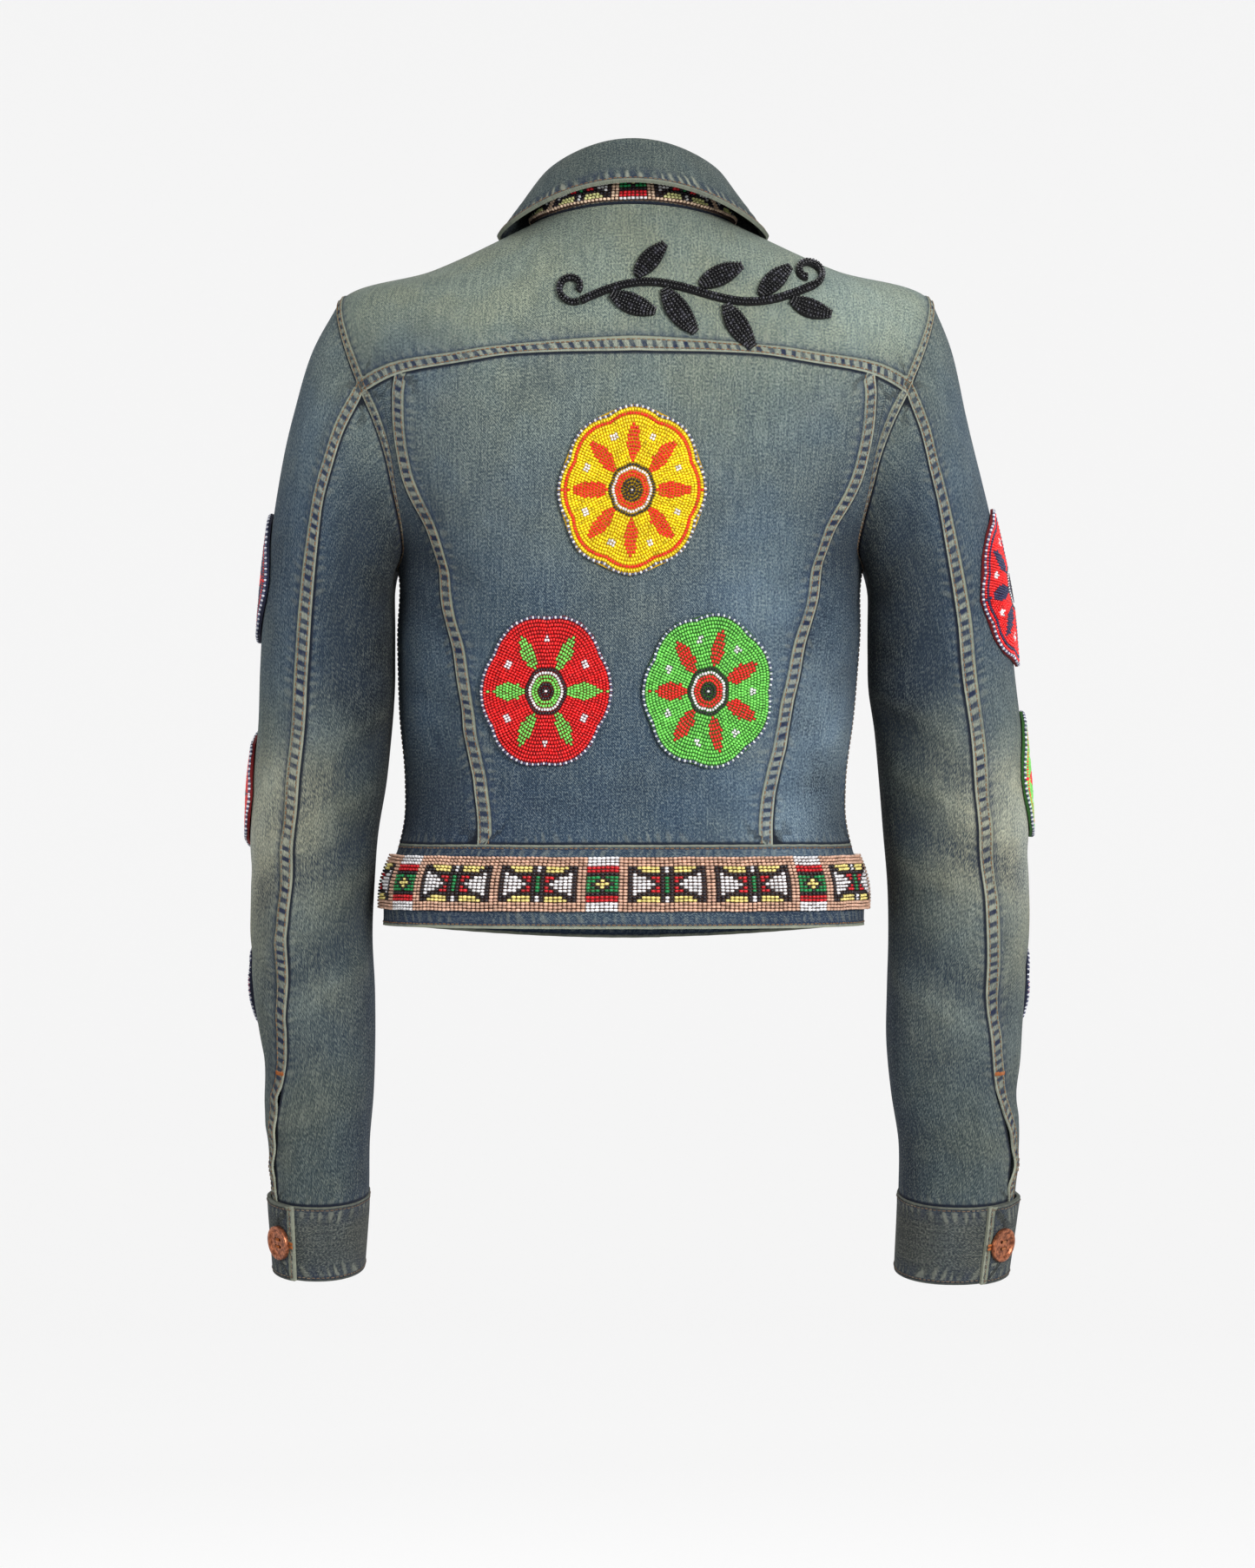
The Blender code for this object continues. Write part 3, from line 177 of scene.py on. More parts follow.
def facing(surface, u, w, step_u, step_w):
    """Which way a surface faces, read from the lie of the places a step to each side."""
    along_u = surface(u + step_u, w) - surface(u - step_u, w)
    along_w = surface(u, w + step_w) - surface(u, w - step_w)
    return unit(np.cross(along_u, along_w))


def body(angle, level):
    """Points of the body, their outward directions, and how far folds raise or sink them."""
    spots = bare_body(angle, level)
    out = facing(bare_body, angle, level, TURN_STEP, LEVEL_STEP)
    across, deep, up = np.moveaxis(spots, -1, 0)
    behind = crease(across, up, BACK_FOLDS + BACK_CREASES)
    before = crease(across, up, FRONT_FOLDS + FRONT_CREASES)
    relief = np.where(deep > 0.0, behind, before) * smooth_step(np.abs(deep) / SIDE_FADE)
    return spots + out * relief[..., None], out, relief


def armhole(turn):
    """The left armhole as (angle, level): turn runs from the armpit up the back to the shoulder."""
    angle = ARMHOLE_REACH * np.sin(turn) * (1.0 + ARMHOLE_SAG * np.cos(turn))
    return np.stack((angle, ARMHOLE_MIDDLE - ARMHOLE_HALF * np.cos(turn)), axis=-1)


def on_side(side, line):
    """A line of the left side, or its mirror on the right."""
    return line if side > 0 else np.stack((math.pi - line[..., 0], line[..., 1]), axis=-1)


def angle_across(distance, level):
    """The angle, on the left back quarter, at which the body lies this far from its middle."""
    level = np.asarray(level, float)
    low, high = np.zeros(level.shape), np.full(level.shape, math.pi / 2)
    for _ in range(HALVINGS):
        middle = 0.5 * (low + high)
        beyond = BODY["half_width"](level) * egg(middle, BODY["square"](level))[0] > distance
        low, high = np.where(beyond, middle, low), np.where(beyond, high, middle)
    return middle


def back_place(across, up):
    """The (angle, level) of a place on the back, given as distance from the middle and height."""
    across = np.asarray(across, float)
    level = np.array(up, float) + np.zeros(across.shape)
    for _ in range(ROUNDS):
        angle = angle_across(np.abs(across), level)
        level = level + ROUND_SHARE * (up - bare_body(angle, level)[..., 2])
    return np.stack((np.where(across < 0.0, math.pi - angle, angle), level), axis=-1)


def straight(start, stop):
    share = np.linspace(0.0, 1.0, DENSE)[:, None]
    return np.asarray(start) * (1.0 - share) + np.asarray(stop) * share


def lengths_of(line):
    return arc(bare_body(line[:, 0], line[:, 1]))


def walk(line, count, near=0.0, far=0.0):
    """Stop at even steps along a dense line, with closer steps over a felled strip at either end."""
    length = lengths_of(line)
    whole = length[-1]
    strip = np.array(STRIP_SHARES)
    first, last = near + STRIP_STEP if near else 0.0, whole - (far + STRIP_STEP if far else 0.0)
    stops = np.linspace(first, last, count + 1)
    stops = np.concatenate((near * strip if near else [], stops, whole - far * strip[::-1] if far else []))
    return read_line(line, length, stops)


def joined(*lines):
    return np.concatenate([lines[0]] + [line[1:] for line in lines[1:]])


def net(left, right, bottom, top, ease=1.0):
    """Fill four edge lines with rows and columns; ease keeps the bends of the ends close to them."""
    lengths = [lengths_of(line) for line in (bottom, top, left, right)]
    share = [length / length[-1] for length in lengths]
    s = (0.5 * (share[0] + share[1]))[None, :, None]
    t = (0.5 * (share[2] + share[3]))[:, None, None]
    across = (1 - s) * left[:, None] + s * right[:, None]
    low = bottom[None] - ((1 - s) * bottom[0] + s * bottom[-1])
    high = top[None] - ((1 - s) * top[0] + s * top[-1])
    return across + (1 - t) ** ease * low + t**ease * high


def yoke_seam_level():
    rows = np.array(YOKE_SEAM)
    places = np.concatenate((armhole(np.array([YOKE_CORNER_TURN])), back_place(rows[:, 0], rows[:, 1])[::-1]))
    return smooth_track(places[:, 0], places[:, 1])


YOKE_LEVEL = yoke_seam_level()


def yoke_line(start, stop):
    angles = np.linspace(start, stop, DENSE)
    return np.stack((angles, YOKE_LEVEL(np.minimum(angles, math.pi - angles))), axis=-1)


def princess_line():
    rows = np.array(PRINCESS_SEAM)
    places = back_place(rows[:, 0], rows[:, 1])
    places[-1, 1] = YOKE_LEVEL(places[-1, 0])
    levels = np.linspace(places[0, 1], places[-1, 1], DENSE)
    return np.stack((smooth_track(places[:, 1], places[:, 0])(levels), levels), axis=-1)


# The denim itself: a right-hand twill of indigo warp over pale weft, washed and tinted so that it runs from a
# greenish grey at the shoulders to a dull indigo low at the sides. Folded edges are rubbed pale and their
# hollows stay dark. Light and shade are painted in on top: shade at the sides by the arms and on the sleeves'
# insides, highlight and shade on the ridges and troughs of folds, light high on the wearer's right and at the
# outer elbow, and shadow lines beside the felled strips.
def linear(red, green, blue):
    """A colour as the eye names it, on the scale that light adds up in."""
    return tuple(((c / 255 + 0.055) / 1.055) ** 2.4 if c > 10 else c / 255 / 12.92
                 for c in (red, green, blue))


SAGE, MIST, SLATE = linear(134, 145, 132), linear(112, 124, 120), linear(94, 108, 115)
DUSK, INDIGO, DEEP = linear(74, 92, 108), linear(58, 74, 94), linear(46, 58, 72)
DARK_WASH_AND_SHADE, ASH, MOSS = linear(19, 28, 35), linear(104, 114, 112), linear(80, 91, 92)
PALE, STRAW, BLUE = linear(178, 180, 160), linear(150, 153, 136), linear(92, 112, 128)
HAZE, PALE_WASH_AND_LIGHT, WEFT = linear(134, 156, 172), linear(154, 169, 160), linear(186, 190, 174)
# Washed patches: across, height, reach, tint. The DEEP and INDIGO patches at the far sides, by and below the
# arms, are a darker wash with painted shade, and the pale patch at across -128, height 400 is a faded wash
# with painted light.
BODY_WASH_AND_PAINTED_LIGHT = (
    (0, 420, 60, SAGE), (90, 385, 50, SAGE), (-90, 385, 50, SAGE), (0, 335, 34, MIST),
    (54, 350, 24, SLATE), (62, 322, 36, MIST), (-66, 322, 36, MIST), (124, 312, 34, SLATE),
    (-124, 312, 34, SLATE), (0, 268, 44, SLATE), (84, 262, 40, SLATE), (-84, 262, 40, SLATE),
    (0, 200, 46, SLATE), (60, 186, 36, DUSK), (-60, 186, 36, DUSK), (104, 190, 34, DUSK),
    (-104, 190, 34, DUSK), (0, 130, 44, DUSK), (66, 104, 40, DUSK), (-66, 104, 40, DUSK),
    (0, 74, 40, DUSK), (144, 222, 30, DEEP), (-146, 222, 28, DEEP), (146, 150, 24, INDIGO),
    (-146, 150, 24, INDIGO), (118, 160, 26, BLUE), (120, 120, 26, DUSK), (-116, 130, 36, HAZE),
    (140, 76, 34, DEEP), (-144, 76, 26, DEEP), (-88, 230, 30, BLUE), (104, 70, 26, INDIGO),
    (-106, 74, 30, HAZE), (-70, 130, 30, BLUE), (-84, 96, 24, BLUE), (-84, 200, 26, HAZE),
    (-110, 200, 24, BLUE), (126, 348, 24, DUSK), (-128, 400, 32, PALE_WASH_AND_LIGHT), (70, 92, 26, INDIGO),
    (30, 250, 24, MIST), (0, 20, 50, DUSK), (120, 16, 40, INDIGO), (-120, 16, 40, INDIGO),
)


def washed(across, up, patches):
    """The tint at each place, of the wash, with painted light and shade where a table holds them: an even
    blend of the patches round it.
    """
    total = np.full(np.broadcast(across, up).shape + (1,), 1e-6)
    tint = total * np.array(SLATE)
    for patch_across, patch_up, reach, colour in patches:
        share = np.exp(-((across - patch_across) ** 2 + (up - patch_up) ** 2) / reach**2)[..., None]
        total, tint = total + share, tint + share * np.array(colour)
    return tint / total


class Strand:
    """One output in a material's node tree, with arithmetic that adds its own nodes."""

    def __init__(self, tree, socket=None):
        self.tree, self.socket = tree, socket

    def node(self, kind, settings, links, output=0):
        made = self.tree.nodes.new("ShaderNode" + kind)
        for name, value in settings.items():
            setattr(made, name, value)
        for name, value in links.items():
            if isinstance(value, Strand):
                value.feed(made.inputs[name])
            else:
                made.inputs[name].default_value = value
        return Strand(self.tree, made.outputs[output])

    def feed(self, socket):
        self.tree.links.new(self.socket, socket)

    def maths(self, operation, first, second=0.0, clamp=False):
        return self.node("Math", {"operation": operation, "use_clamp": clamp}, {0: first, 1: second})

    def __add__(self, other):
        return self.maths("ADD", self, other)

    def __sub__(self, other):
        return self.maths("SUBTRACT", self, other)

    def __rsub__(self, other):
        return self.maths("SUBTRACT", other, self)

    def __mul__(self, other):
        return self.maths("MULTIPLY", self, other)

    def __truediv__(self, other):
        return self.maths("DIVIDE", self, other)

    __radd__, __rmul__ = __add__, __mul__

    def wave(self):
        """Nought to one and back for each whole number."""
        return self.maths("SINE", self * (2 * math.pi)) * 0.5 + 0.5

    def held(self):
        return self.maths("ADD", self, 0.0, clamp=True)

    def ramp(self, low, high):
        """A soft rise from nought to one between two values."""
        limits = {0: self, 1: low, 2: high, 3: 0.0, 4: 1.0}
        return self.node("MapRange", {"interpolation_type": "SMOOTHSTEP"}, limits)

    def blend(self, first, second):
        """From the first colour to the second as this value goes from nought to one."""
        pair = {place: colour if isinstance(colour, Strand) else (*colour, 1.0)
                for place, colour in ((6, first), (7, second))}
        return self.node("Mix", {"data_type": "RGBA"}, {0: self, **pair}, output=2)

    def over(self, ground, tint):
        """A tint laid over the ground as strongly as this mask says."""
        return self.held().blend(ground, tint)

    def parts(self):
        made = self.node("SeparateXYZ", {}, {0: self}).socket.node
        return [Strand(self.tree, part) for part in made.outputs]

    def times(self, factors):
        return self.node("VectorMath", {"operation": "MULTIPLY"}, {0: self, 1: factors})

    def noise(self, scale, detail=2.0, rough=0.5):
        """Cloudy noise read at this vector; its scale is one number, or one for each direction."""
        even = isinstance(scale, float)
        return self.node("TexNoise", {"noise_dimensions": "3D"},
                         {"Vector": self if even else self.times(scale), "Scale": scale if even else 1.0,
                          "Detail": detail, "Roughness": rough})

    def attribute(self, name, output=0):
        return self.node("Attribute", {"attribute_name": name}, {}, output=output)

    def place(self):
        """Where a spot lies on the whole jacket."""
        return self.node("TexCoord", {}, {}, output=3)

    def emboss(self, skin, strength, distance):
        """Raise the surface by this height."""
        links = {"Strength": strength, "Distance": distance, "Height": self}
        self.node("Bump", {}, links).feed(skin["Normal"])


def new_material(name):
    made = bpy.data.materials.new(name)
    made.use_nodes = True
    return made, Strand(made.node_tree), made.node_tree.nodes["Principled BSDF"].inputs


# Tints of a washed seam: its rubbed fold, its humps, its faded inner edge and the streaks above it, then the
# dark of its hollows, of the margin beside it and of the furrows between streaks, and a painted shadow line
# at the joint, where a strip's fold lies over the cloth beside it, and where a strip steps down.
FOLD_TINT, HUMP_TINT, INNER_TINT = linear(176, 180, 161), linear(171, 175, 158), linear(156, 162, 143)
STREAK_TINT, HOLLOW_TINT, MARGIN_TINT = linear(172, 176, 160), linear(40, 48, 76), linear(50, 64, 88)
FURROW_TINT, PAINTED_SHADOW_TINT = linear(46, 58, 84), linear(28, 34, 48)
# Shares of the wash's tint in warp and in pale weft, and in its bluer and greener clouds.
WARP_SHARE, WEFT_SHARE = (0.44, 0.48, 0.55), (1.50, 1.45, 1.36)
BLUE_SHARE, GREEN_SHARE = (0.95, 0.99, 1.04), (1.02, 1.01, 0.98)
# Twill lines a metre and their lean, threads a metre each way, millimetres between humps and between streaks.
TWILL_LINES, TWILL_LEAN, FLECK_THREADS, SLUB_THREADS = 720.0, 0.86, (1080.0, 700.0, 1.0), (620.0, 36.0, 1.0)
HUMP_PITCH, STREAK_PITCH = 6.6, 7.2


def woven(name, shade, rope_depth, pucker):
    """Washed twill: shade darkens it; rope_depth and pucker say how strongly seams rope and edges draw up."""
    made, tree, skin = new_material(name)
    weave, seam = (tree.node("UVMap", {"uv_map": layer}, {}) for layer in ("weave", "seam"))
    place = tree.place()
    weft, warp, _ = weave.parts()
    along, away = (part * 1000.0 for part in seam.parts()[:2])
    # The tint attribute holds the wash, and on the body and arms painted light and shade as well.
    wash, relief, width = tree.attribute("wash"), tree.attribute("relief", 2), tree.attribute("strip", 2)

    # The ground: pale weft shows in fine diagonal flecks between darker, faintly streaked warp.
    twill = ((weft + warp * TWILL_LEAN) * TWILL_LINES + weave.noise(160.0) * 1.6).wave()
    flecks, slub = weave.noise(FLECK_THREADS, 1.0), weave.noise(SLUB_THREADS, 3.0, 0.6)
    worn, broad = place.noise(90.0, 4.0, 0.62), place.noise(26.0, 3.0, 0.55)
    grain = (flecks - 0.5) * 3.2 + (slub - 0.5) * 1.3 + (twill - 0.5) * 0.55 + (worn - 0.5) * 0.5
    grain = (grain + 0.5).held()
    weft_colour = (grain.ramp(0.62, 1.0) * 0.20).blend(wash.times(WEFT_SHARE), WEFT)
    colour = grain.blend(wash.times(WARP_SHARE), weft_colour)
    colour = broad.ramp(0.34, 0.64).blend(colour.times(BLUE_SHARE), colour.times(GREEN_SHARE))
    # Raised folds are tinted pale and sunk ones dark: rubbed wear on the ridges and a darker wash in the
    # troughs, with a painted highlight on the ridges and painted shade in the troughs.
    colour = (relief * 0.13 * (grain * 0.9 + 0.3)).over(colour, STRAW)
    colour = (relief * -0.20 * (1.3 - grain)).over(colour, DEEP)

    # Sewn edges: a rubbed fold, roping between the rows of stitches with dark hollows and pale humps, a faded
    # inner edge, and a dark margin beyond. A width below nought marks an edge that lies under its neighbour.
    wander, uneven = seam.noise((30.0, 14.0, 1.0), 2.0, 0.6), seam.noise((95.0, 60.0, 1.0), 2.0, 0.6)
    rubbed = seam.noise((36.0, 90.0, 1.0), 3.0, 0.6).ramp(0.30, 0.66)
    lapped = width.ramp(0.5, 2.0)
    inner = away - width
    inside = (1.0 - inner.ramp(-0.3, 0.5)) * lapped
    core = away.ramp(1.3, 2.4) * (1.0 - inner.ramp(-3.1, -2.0)) * lapped
    hump = (along / HUMP_PITCH + away * 0.045 + wander * 1.7).wave()
    hollow = ((1.0 - hump.ramp(0.16, 0.60)) * core * (uneven * 1.7 - 0.05) * (1.5 - broad)).held()
    margin = (1.0 - inner.ramp(0.4, 5.5)) * (1.0 - inside)
    streak_end = 1.0 - (inner - wander * 26.0 + 13.0).ramp(2.0, 14.0)
    drawn = (along / STREAK_PITCH + wander * 3.4 + inner * 0.035).wave() * inner.ramp(0.6, 2.4) * streak_end
    furrow = (1.0 - inner.ramp(5.0, 13.0)) * inner.ramp(0.2, 1.4) * (1.0 - drawn.ramp(0.05, 0.5))
    # Painted shadow: a dark line on an under piece where a strip's fold lies over it, and a fainter one where
    # a strip steps down at its inner edge.
    shadow_beside_fold = (1.0 - away.ramp(1.1, 2.7)) * (1.0 - lapped)
    shadow_at_strip_step = (inner + 0.5).ramp(0.0, 0.4) * (1.0 - (inner - 0.2).ramp(0.2, 0.8)) * lapped * 0.5
    for mask, tint in (
        ((hump.ramp(0.30, 0.85) * 0.62 + 0.16) * inside * (grain * 0.6 + 0.4) * (rubbed * 0.7 + 0.6),
         HUMP_TINT),
        (hollow * 0.95 * rope_depth, HOLLOW_TINT),
        ((1.0 - away.ramp(0.6, 1.5)) * lapped * (rubbed * 0.55 + 0.45), FOLD_TINT),
        (inner.ramp(-2.3, -1.6) * inside * (rubbed * 0.7 + 0.22), INNER_TINT),
        (margin * (0.60 - hump * 0.30) * rope_depth, MARGIN_TINT),
        (drawn.ramp(0.45, 0.95) * uneven * pucker * 1.2, STREAK_TINT),
        (furrow * worn * pucker, FURROW_TINT),
        # painted shadow lines beside the strips' folds and steps
        ((shadow_beside_fold + shadow_at_strip_step) * 0.92, PAINTED_SHADOW_TINT),
    ):
        colour = mask.over(colour, tint)
    shaded = colour.node("Mix", {"data_type": "RGBA", "blend_type": "MULTIPLY"},
                         {0: 1.0, 6: colour, 7: (shade, shade, shade, 1.0)}, output=2)
    shaded.feed(skin["Base Color"])
    (slub * 0.14 + 0.80).feed(skin["Roughness"])
    skin["Specular IOR Level"].default_value = 0.07
    skin["Sheen Weight"].default_value, skin["Sheen Roughness"].default_value = 0.03, 0.6
    height = twill * 0.08 + grain * 0.30 + worn * 0.10 + hump * (core * 0.9 + margin * 0.35)
    (height + drawn * (pucker + 0.15)).emboss(skin, 0.8, 0.0009)
    return made


WASHED_DENIM = woven("washed denim", 0.80, 1.0, 0.28)
COLLAR_DENIM = woven("collar denim", 0.65, 1.0, 1.15)
DARK_DENIM = woven("dark denim", 0.64, 0.75, 0.6)


# The strip width that marks an edge lying under its neighbour, and each cut's net, kept for its stitching.
UNDER, NETS = -1.0, {}
# What a place far from any edge is given; how soon the slide along a bent edge dies away; what sets the
# places along one edge apart from the next edge's; and how strongly a wide strip claims the cloth beside it.
NO_EDGE, SLIDE_FADE, EDGE_APART, STRIP_PULL = (5000.0, 400.0), 60.0, 900.0, 0.6
CLOTH_SHARP = math.radians(42.0)


def run_lengths(points, axis):
    """Lengths along a net's rows or columns, from its first edge."""
    steps = np.linalg.norm(np.diff(points, axis=axis), axis=-1)
    start = np.zeros_like(np.take(steps, [0], axis=axis))
    return np.concatenate((start, np.cumsum(steps, axis=axis)), axis=axis)


def seam_places(points, seams):
    """Each point's place along its nearest sewn edge, its distance from it, and that edge's strip width."""
    across, up = run_lengths(points, 1), run_lengths(points, 0)
    choices = {"left": (up[:, :1], across, points[:, :1], 0), "bottom": (across[:1], up, points[:1], 1),
               "right": (up[:, -1:], across[:, -1:] - across, points[:, -1:], 0),
               "top": (across[-1:], up[-1:] - up, points[-1:], 1)}
    best = (across + NO_EDGE[0], np.full(across.shape, NO_EDGE[1]), np.full(across.shape, UNDER))
    best = np.stack(best, axis=-1)
    for number, (name, width) in enumerate(seams.items()):
        length, away, edge, axis = choices[name]
        slide = np.sum((points - edge) * unit(np.gradient(edge, axis=axis)), axis=-1)
        along = length + slide * np.exp(-away / SLIDE_FADE) + EDGE_APART * number
        nearer = (away - STRIP_PULL * width < best[..., 1] - STRIP_PULL * best[..., 2])[..., None]
        best = np.where(nearer, np.stack((along, away, np.full(away.shape, width)), axis=-1), best)
    return best


def select_only(piece):
    bpy.ops.object.select_all(action="DESELECT")
    bpy.context.view_layer.objects.active = piece
    piece.select_set(True)


def in_frame(points):
    """Millimetres above the hem, as metres from the middle of the neck."""
    return (points - (0.0, 0.0, NECK_HEIGHT)) * METRE


def paint(mesh, name, kind, values):
    """Give each point of a mesh a value or a colour of its own."""
    field = "color" if kind == "FLOAT_COLOR" else "value"
    mesh.attributes.new(name, kind, "POINT").data.foreach_set(field, values.ravel())


def cloth(name, node, points, out, wash, relief, seams, thick=DENIM, finish=WASHED_DENIM,
          flip_weave=False):
    """A cut of cloth laid on a net of points and given its ply."""
    rows, columns = points.shape[:2]
    NETS[name] = points, out
    bpy.ops.object.select_all(action="DESELECT")
    bpy.ops.mesh.primitive_grid_add(x_subdivisions=columns - 1, y_subdivisions=rows - 1, size=2.0)
    piece = bpy.context.object
    piece.name = piece.data.name = name
    mesh = piece.data
    flat = np.empty(len(mesh.vertices) * 3)
    mesh.vertices.foreach_get("co", flat)
    flat = flat.reshape(-1, 3)
    row = np.rint((flat[:, 1] + 1.0) / 2.0 * (rows - 1)).astype(int)
    column = np.rint((flat[:, 0] + 1.0) / 2.0 * (columns - 1)).astype(int)
    mesh.vertices.foreach_set("co", in_frame(points)[row, column].ravel())

    across, up = run_lengths(points, 1), run_lengths(points, 0)
    weave = np.stack((across - across[:, -1:] / 2.0, up), axis=-1) * METRE
    if flip_weave:
        weave = weave[..., ::-1]
    corner = np.empty(len(mesh.loops), int)
    mesh.loops.foreach_get("vertex_index", corner)
    edges = seam_places(points, seams)
    for map_name, places in (("weave", weave), ("seam", edges[..., :2] * METRE)):
        layer = mesh.uv_layers.get(map_name) or mesh.uv_layers.new(name=map_name)
        layer.data.foreach_set("uv", places[row, column][corner].ravel())
    for old in [layer for layer in mesh.uv_layers if layer.name not in ("weave", "seam")]:
        mesh.uv_layers.remove(old)
    tint = np.ones((rows, columns, 4))
    tint[..., :3] = wash
    paint(mesh, "wash", "FLOAT_COLOR", tint[row, column])
    paint(mesh, "relief", "FLOAT", np.broadcast_to(relief, (rows, columns))[row, column])
    paint(mesh, "strip", "FLOAT", edges[row, column, 2])

    select_only(piece)
    r, c = rows // 2, columns // 2
    facing_out = np.dot(np.cross(points[r, c + 1] - points[r, c], points[r + 1, c] - points[r, c]), out[r, c])
    if facing_out < 0.0:
        bpy.ops.object.mode_set(mode="EDIT")
        bpy.ops.mesh.select_all(action="SELECT")
        bpy.ops.mesh.flip_normals()
        bpy.ops.object.mode_set(mode="OBJECT")
    ply = piece.modifiers.new("ply", "SOLIDIFY")
    ply.thickness, ply.offset, ply.use_even_offset = thick * METRE, -1.0, False
    bpy.ops.object.modifier_apply(modifier=ply.name)
    bpy.ops.object.shade_smooth_by_angle(angle=CLOTH_SHARP)
    mesh.materials.append(finish)
    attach(piece, "root")
    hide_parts(node)
    sides = np.cross(points[1:, 1:] - points[:-1, :-1], points[1:, :-1] - points[:-1, 1:])


def strip_lift(shape, *edges):
    """How far the felled strips along a net's edges stand proud."""
    lift = np.zeros(shape[:2])
    for edge in edges:
        lift[{"left": np.s_[:, :STRIP_COLUMNS], "right": np.s_[:, -STRIP_COLUMNS:],
              "bottom": np.s_[:STRIP_COLUMNS]}[edge]] = SEAM_RISE
    return lift


def body_cloth(name, node, places, lift, seams):
    """A cut that lies on the body, standing off it by its lift."""
    points, out, relief = body(places[..., 0], places[..., 1])
    cloth(name, node, points + out * np.asarray(lift)[..., None], out,
          washed(points[..., 0], points[..., 2], BODY_WASH_AND_PAINTED_LIGHT), relief, seams)


PRINCESS = walk(princess_line(), 96)
YOKE_MIDDLE = walk(yoke_line(PRINCESS[-1, 0], math.pi - PRINCESS[-1, 0]), 76, STRIP, STRIP)
BAND_LINE = walk(straight(PRINCESS[0], (math.pi - PRINCESS[0, 0], BAND_TOP)), 76, STRIP, STRIP)
places = net(PRINCESS, on_side(-1, PRINCESS), BAND_LINE, YOKE_MIDDLE)
body_cloth("centre_back", "back_centre", places, strip_lift(places.shape, "left", "right"),
           {"left": STRIP, "right": STRIP, "bottom": UNDER, "top": UNDER})

# Back yoke: one layer that runs from the armholes over the shoulders to the front. Its lower edge and its
# armhole edges are folded and felled over the pieces below, with a thick roped strip.
ARMHOLE_STRIP = 6.7
SHOULDER_SEAM_TURN = math.radians(193.0)
NECK_SHOULDER_ANGLE = math.radians(-10.0)


def armhole_line(start, stop):
    return armhole(np.linspace(start, stop, DENSE))


ARMHOLE_YOKE = walk(armhole_line(YOKE_CORNER_TURN, SHOULDER_SEAM_TURN), 40, near=STRIP)
SHOULDER_SEAM = walk(straight(ARMHOLE_YOKE[-1], (NECK_SHOULDER_ANGLE, NECK_LEVEL)), 34, near=ARMHOLE_STRIP)
YOKE_SIDE = walk(yoke_line(ARMHOLE_YOKE[0, 0], PRINCESS[-1, 0]), 12, near=ARMHOLE_STRIP)
foot = joined(YOKE_SIDE, YOKE_MIDDLE, on_side(-1, YOKE_SIDE)[::-1])
neck = walk(straight(SHOULDER_SEAM[-1], (math.pi - SHOULDER_SEAM[-1, 0], NECK_LEVEL)),
            len(foot) - 2 * len(SHOULDER_SEAM) + 1)
head = joined(SHOULDER_SEAM, neck, on_side(-1, SHOULDER_SEAM)[::-1])
places = net(ARMHOLE_YOKE, on_side(-1, ARMHOLE_YOKE), foot, head)
body_cloth("yoke", "back_yoke", places, strip_lift(places.shape, "bottom", "left", "right"),
           {"left": ARMHOLE_STRIP, "right": ARMHOLE_STRIP, "bottom": STRIP})

# Side-back and front panels: one layer each, joined down the side under the arm. The side seam and the
# armhole are felled; near the armpit the strips lie flat, where the sleeve comes close.
SIDES = ((1, "left"), (-1, "right"))
SIDE_SEAM = walk(straight((0.0, BAND_TOP), (0.0, ARMPIT)), 58)
ARMHOLE_BACK = walk(armhole_line(0.0, YOKE_CORNER_TURN), len(PRINCESS) - len(SIDE_SEAM))
ARMHOLE_FRONT = walk(armhole_line(SHOULDER_SEAM_TURN, 2.0 * math.pi), 62)
EDGE_EASE, PLACKET_HALF, FLAT_BELOW, FLAT_ABOVE = 3.5, 18.0, 34.0, 97.0


def flat_at_armpit(levels):
    """How far a strip stands proud, which is nothing at the armpit itself."""
    away = np.where(levels < ARMPIT, (ARMPIT - levels) / FLAT_BELOW, (levels - ARMPIT) / FLAT_ABOVE)
    return SEAM_RISE * smooth_step(away)


def front_edge(level, distance):
    """The front place at this level and this far to the left of the middle."""
    angle = -angle_across(np.abs(distance), level)
    return np.stack((np.where(distance < 0.0, -math.pi - angle, angle), level + 0.0 * angle), axis=-1)


foot = walk(straight((0.0, BAND_TOP), PRINCESS[0]), len(YOKE_SIDE) - STRIP_COLUMNS - 1, near=ARMHOLE_STRIP)
side_back = net(joined(SIDE_SEAM, ARMHOLE_BACK), PRINCESS, foot, YOKE_SIDE, EDGE_EASE)
front_side = joined(SIDE_SEAM, ARMHOLE_FRONT[::-1])
levels = np.linspace(BAND_TOP, NECK_LEVEL, DENSE)
middle = walk(front_edge(levels, np.full(DENSE, PLACKET_HALF)), len(front_side) - 1)
head = joined(SHOULDER_SEAM, walk(straight(SHOULDER_SEAM[-1], middle[-1]), 10))
foot = walk(straight((0.0, BAND_TOP), middle[0]), len(head) - STRIP_COLUMNS - 1, near=ARMHOLE_STRIP)
front = net(front_side, middle, foot, head, EDGE_EASE)
for side, word in SIDES:
    for name, node, shape in (("side_back_", "back_side_", side_back), ("front_panel_", "front_", front)):
        lift = np.zeros(shape.shape[:2])
        lift[:, :STRIP_COLUMNS] = flat_at_armpit(shape[:, :STRIP_COLUMNS, 1])
        body_cloth(name + word, node + word, on_side(side, shape), lift,
                   {"left": ARMHOLE_STRIP, "right": UNDER, "bottom": UNDER, "top": UNDER})

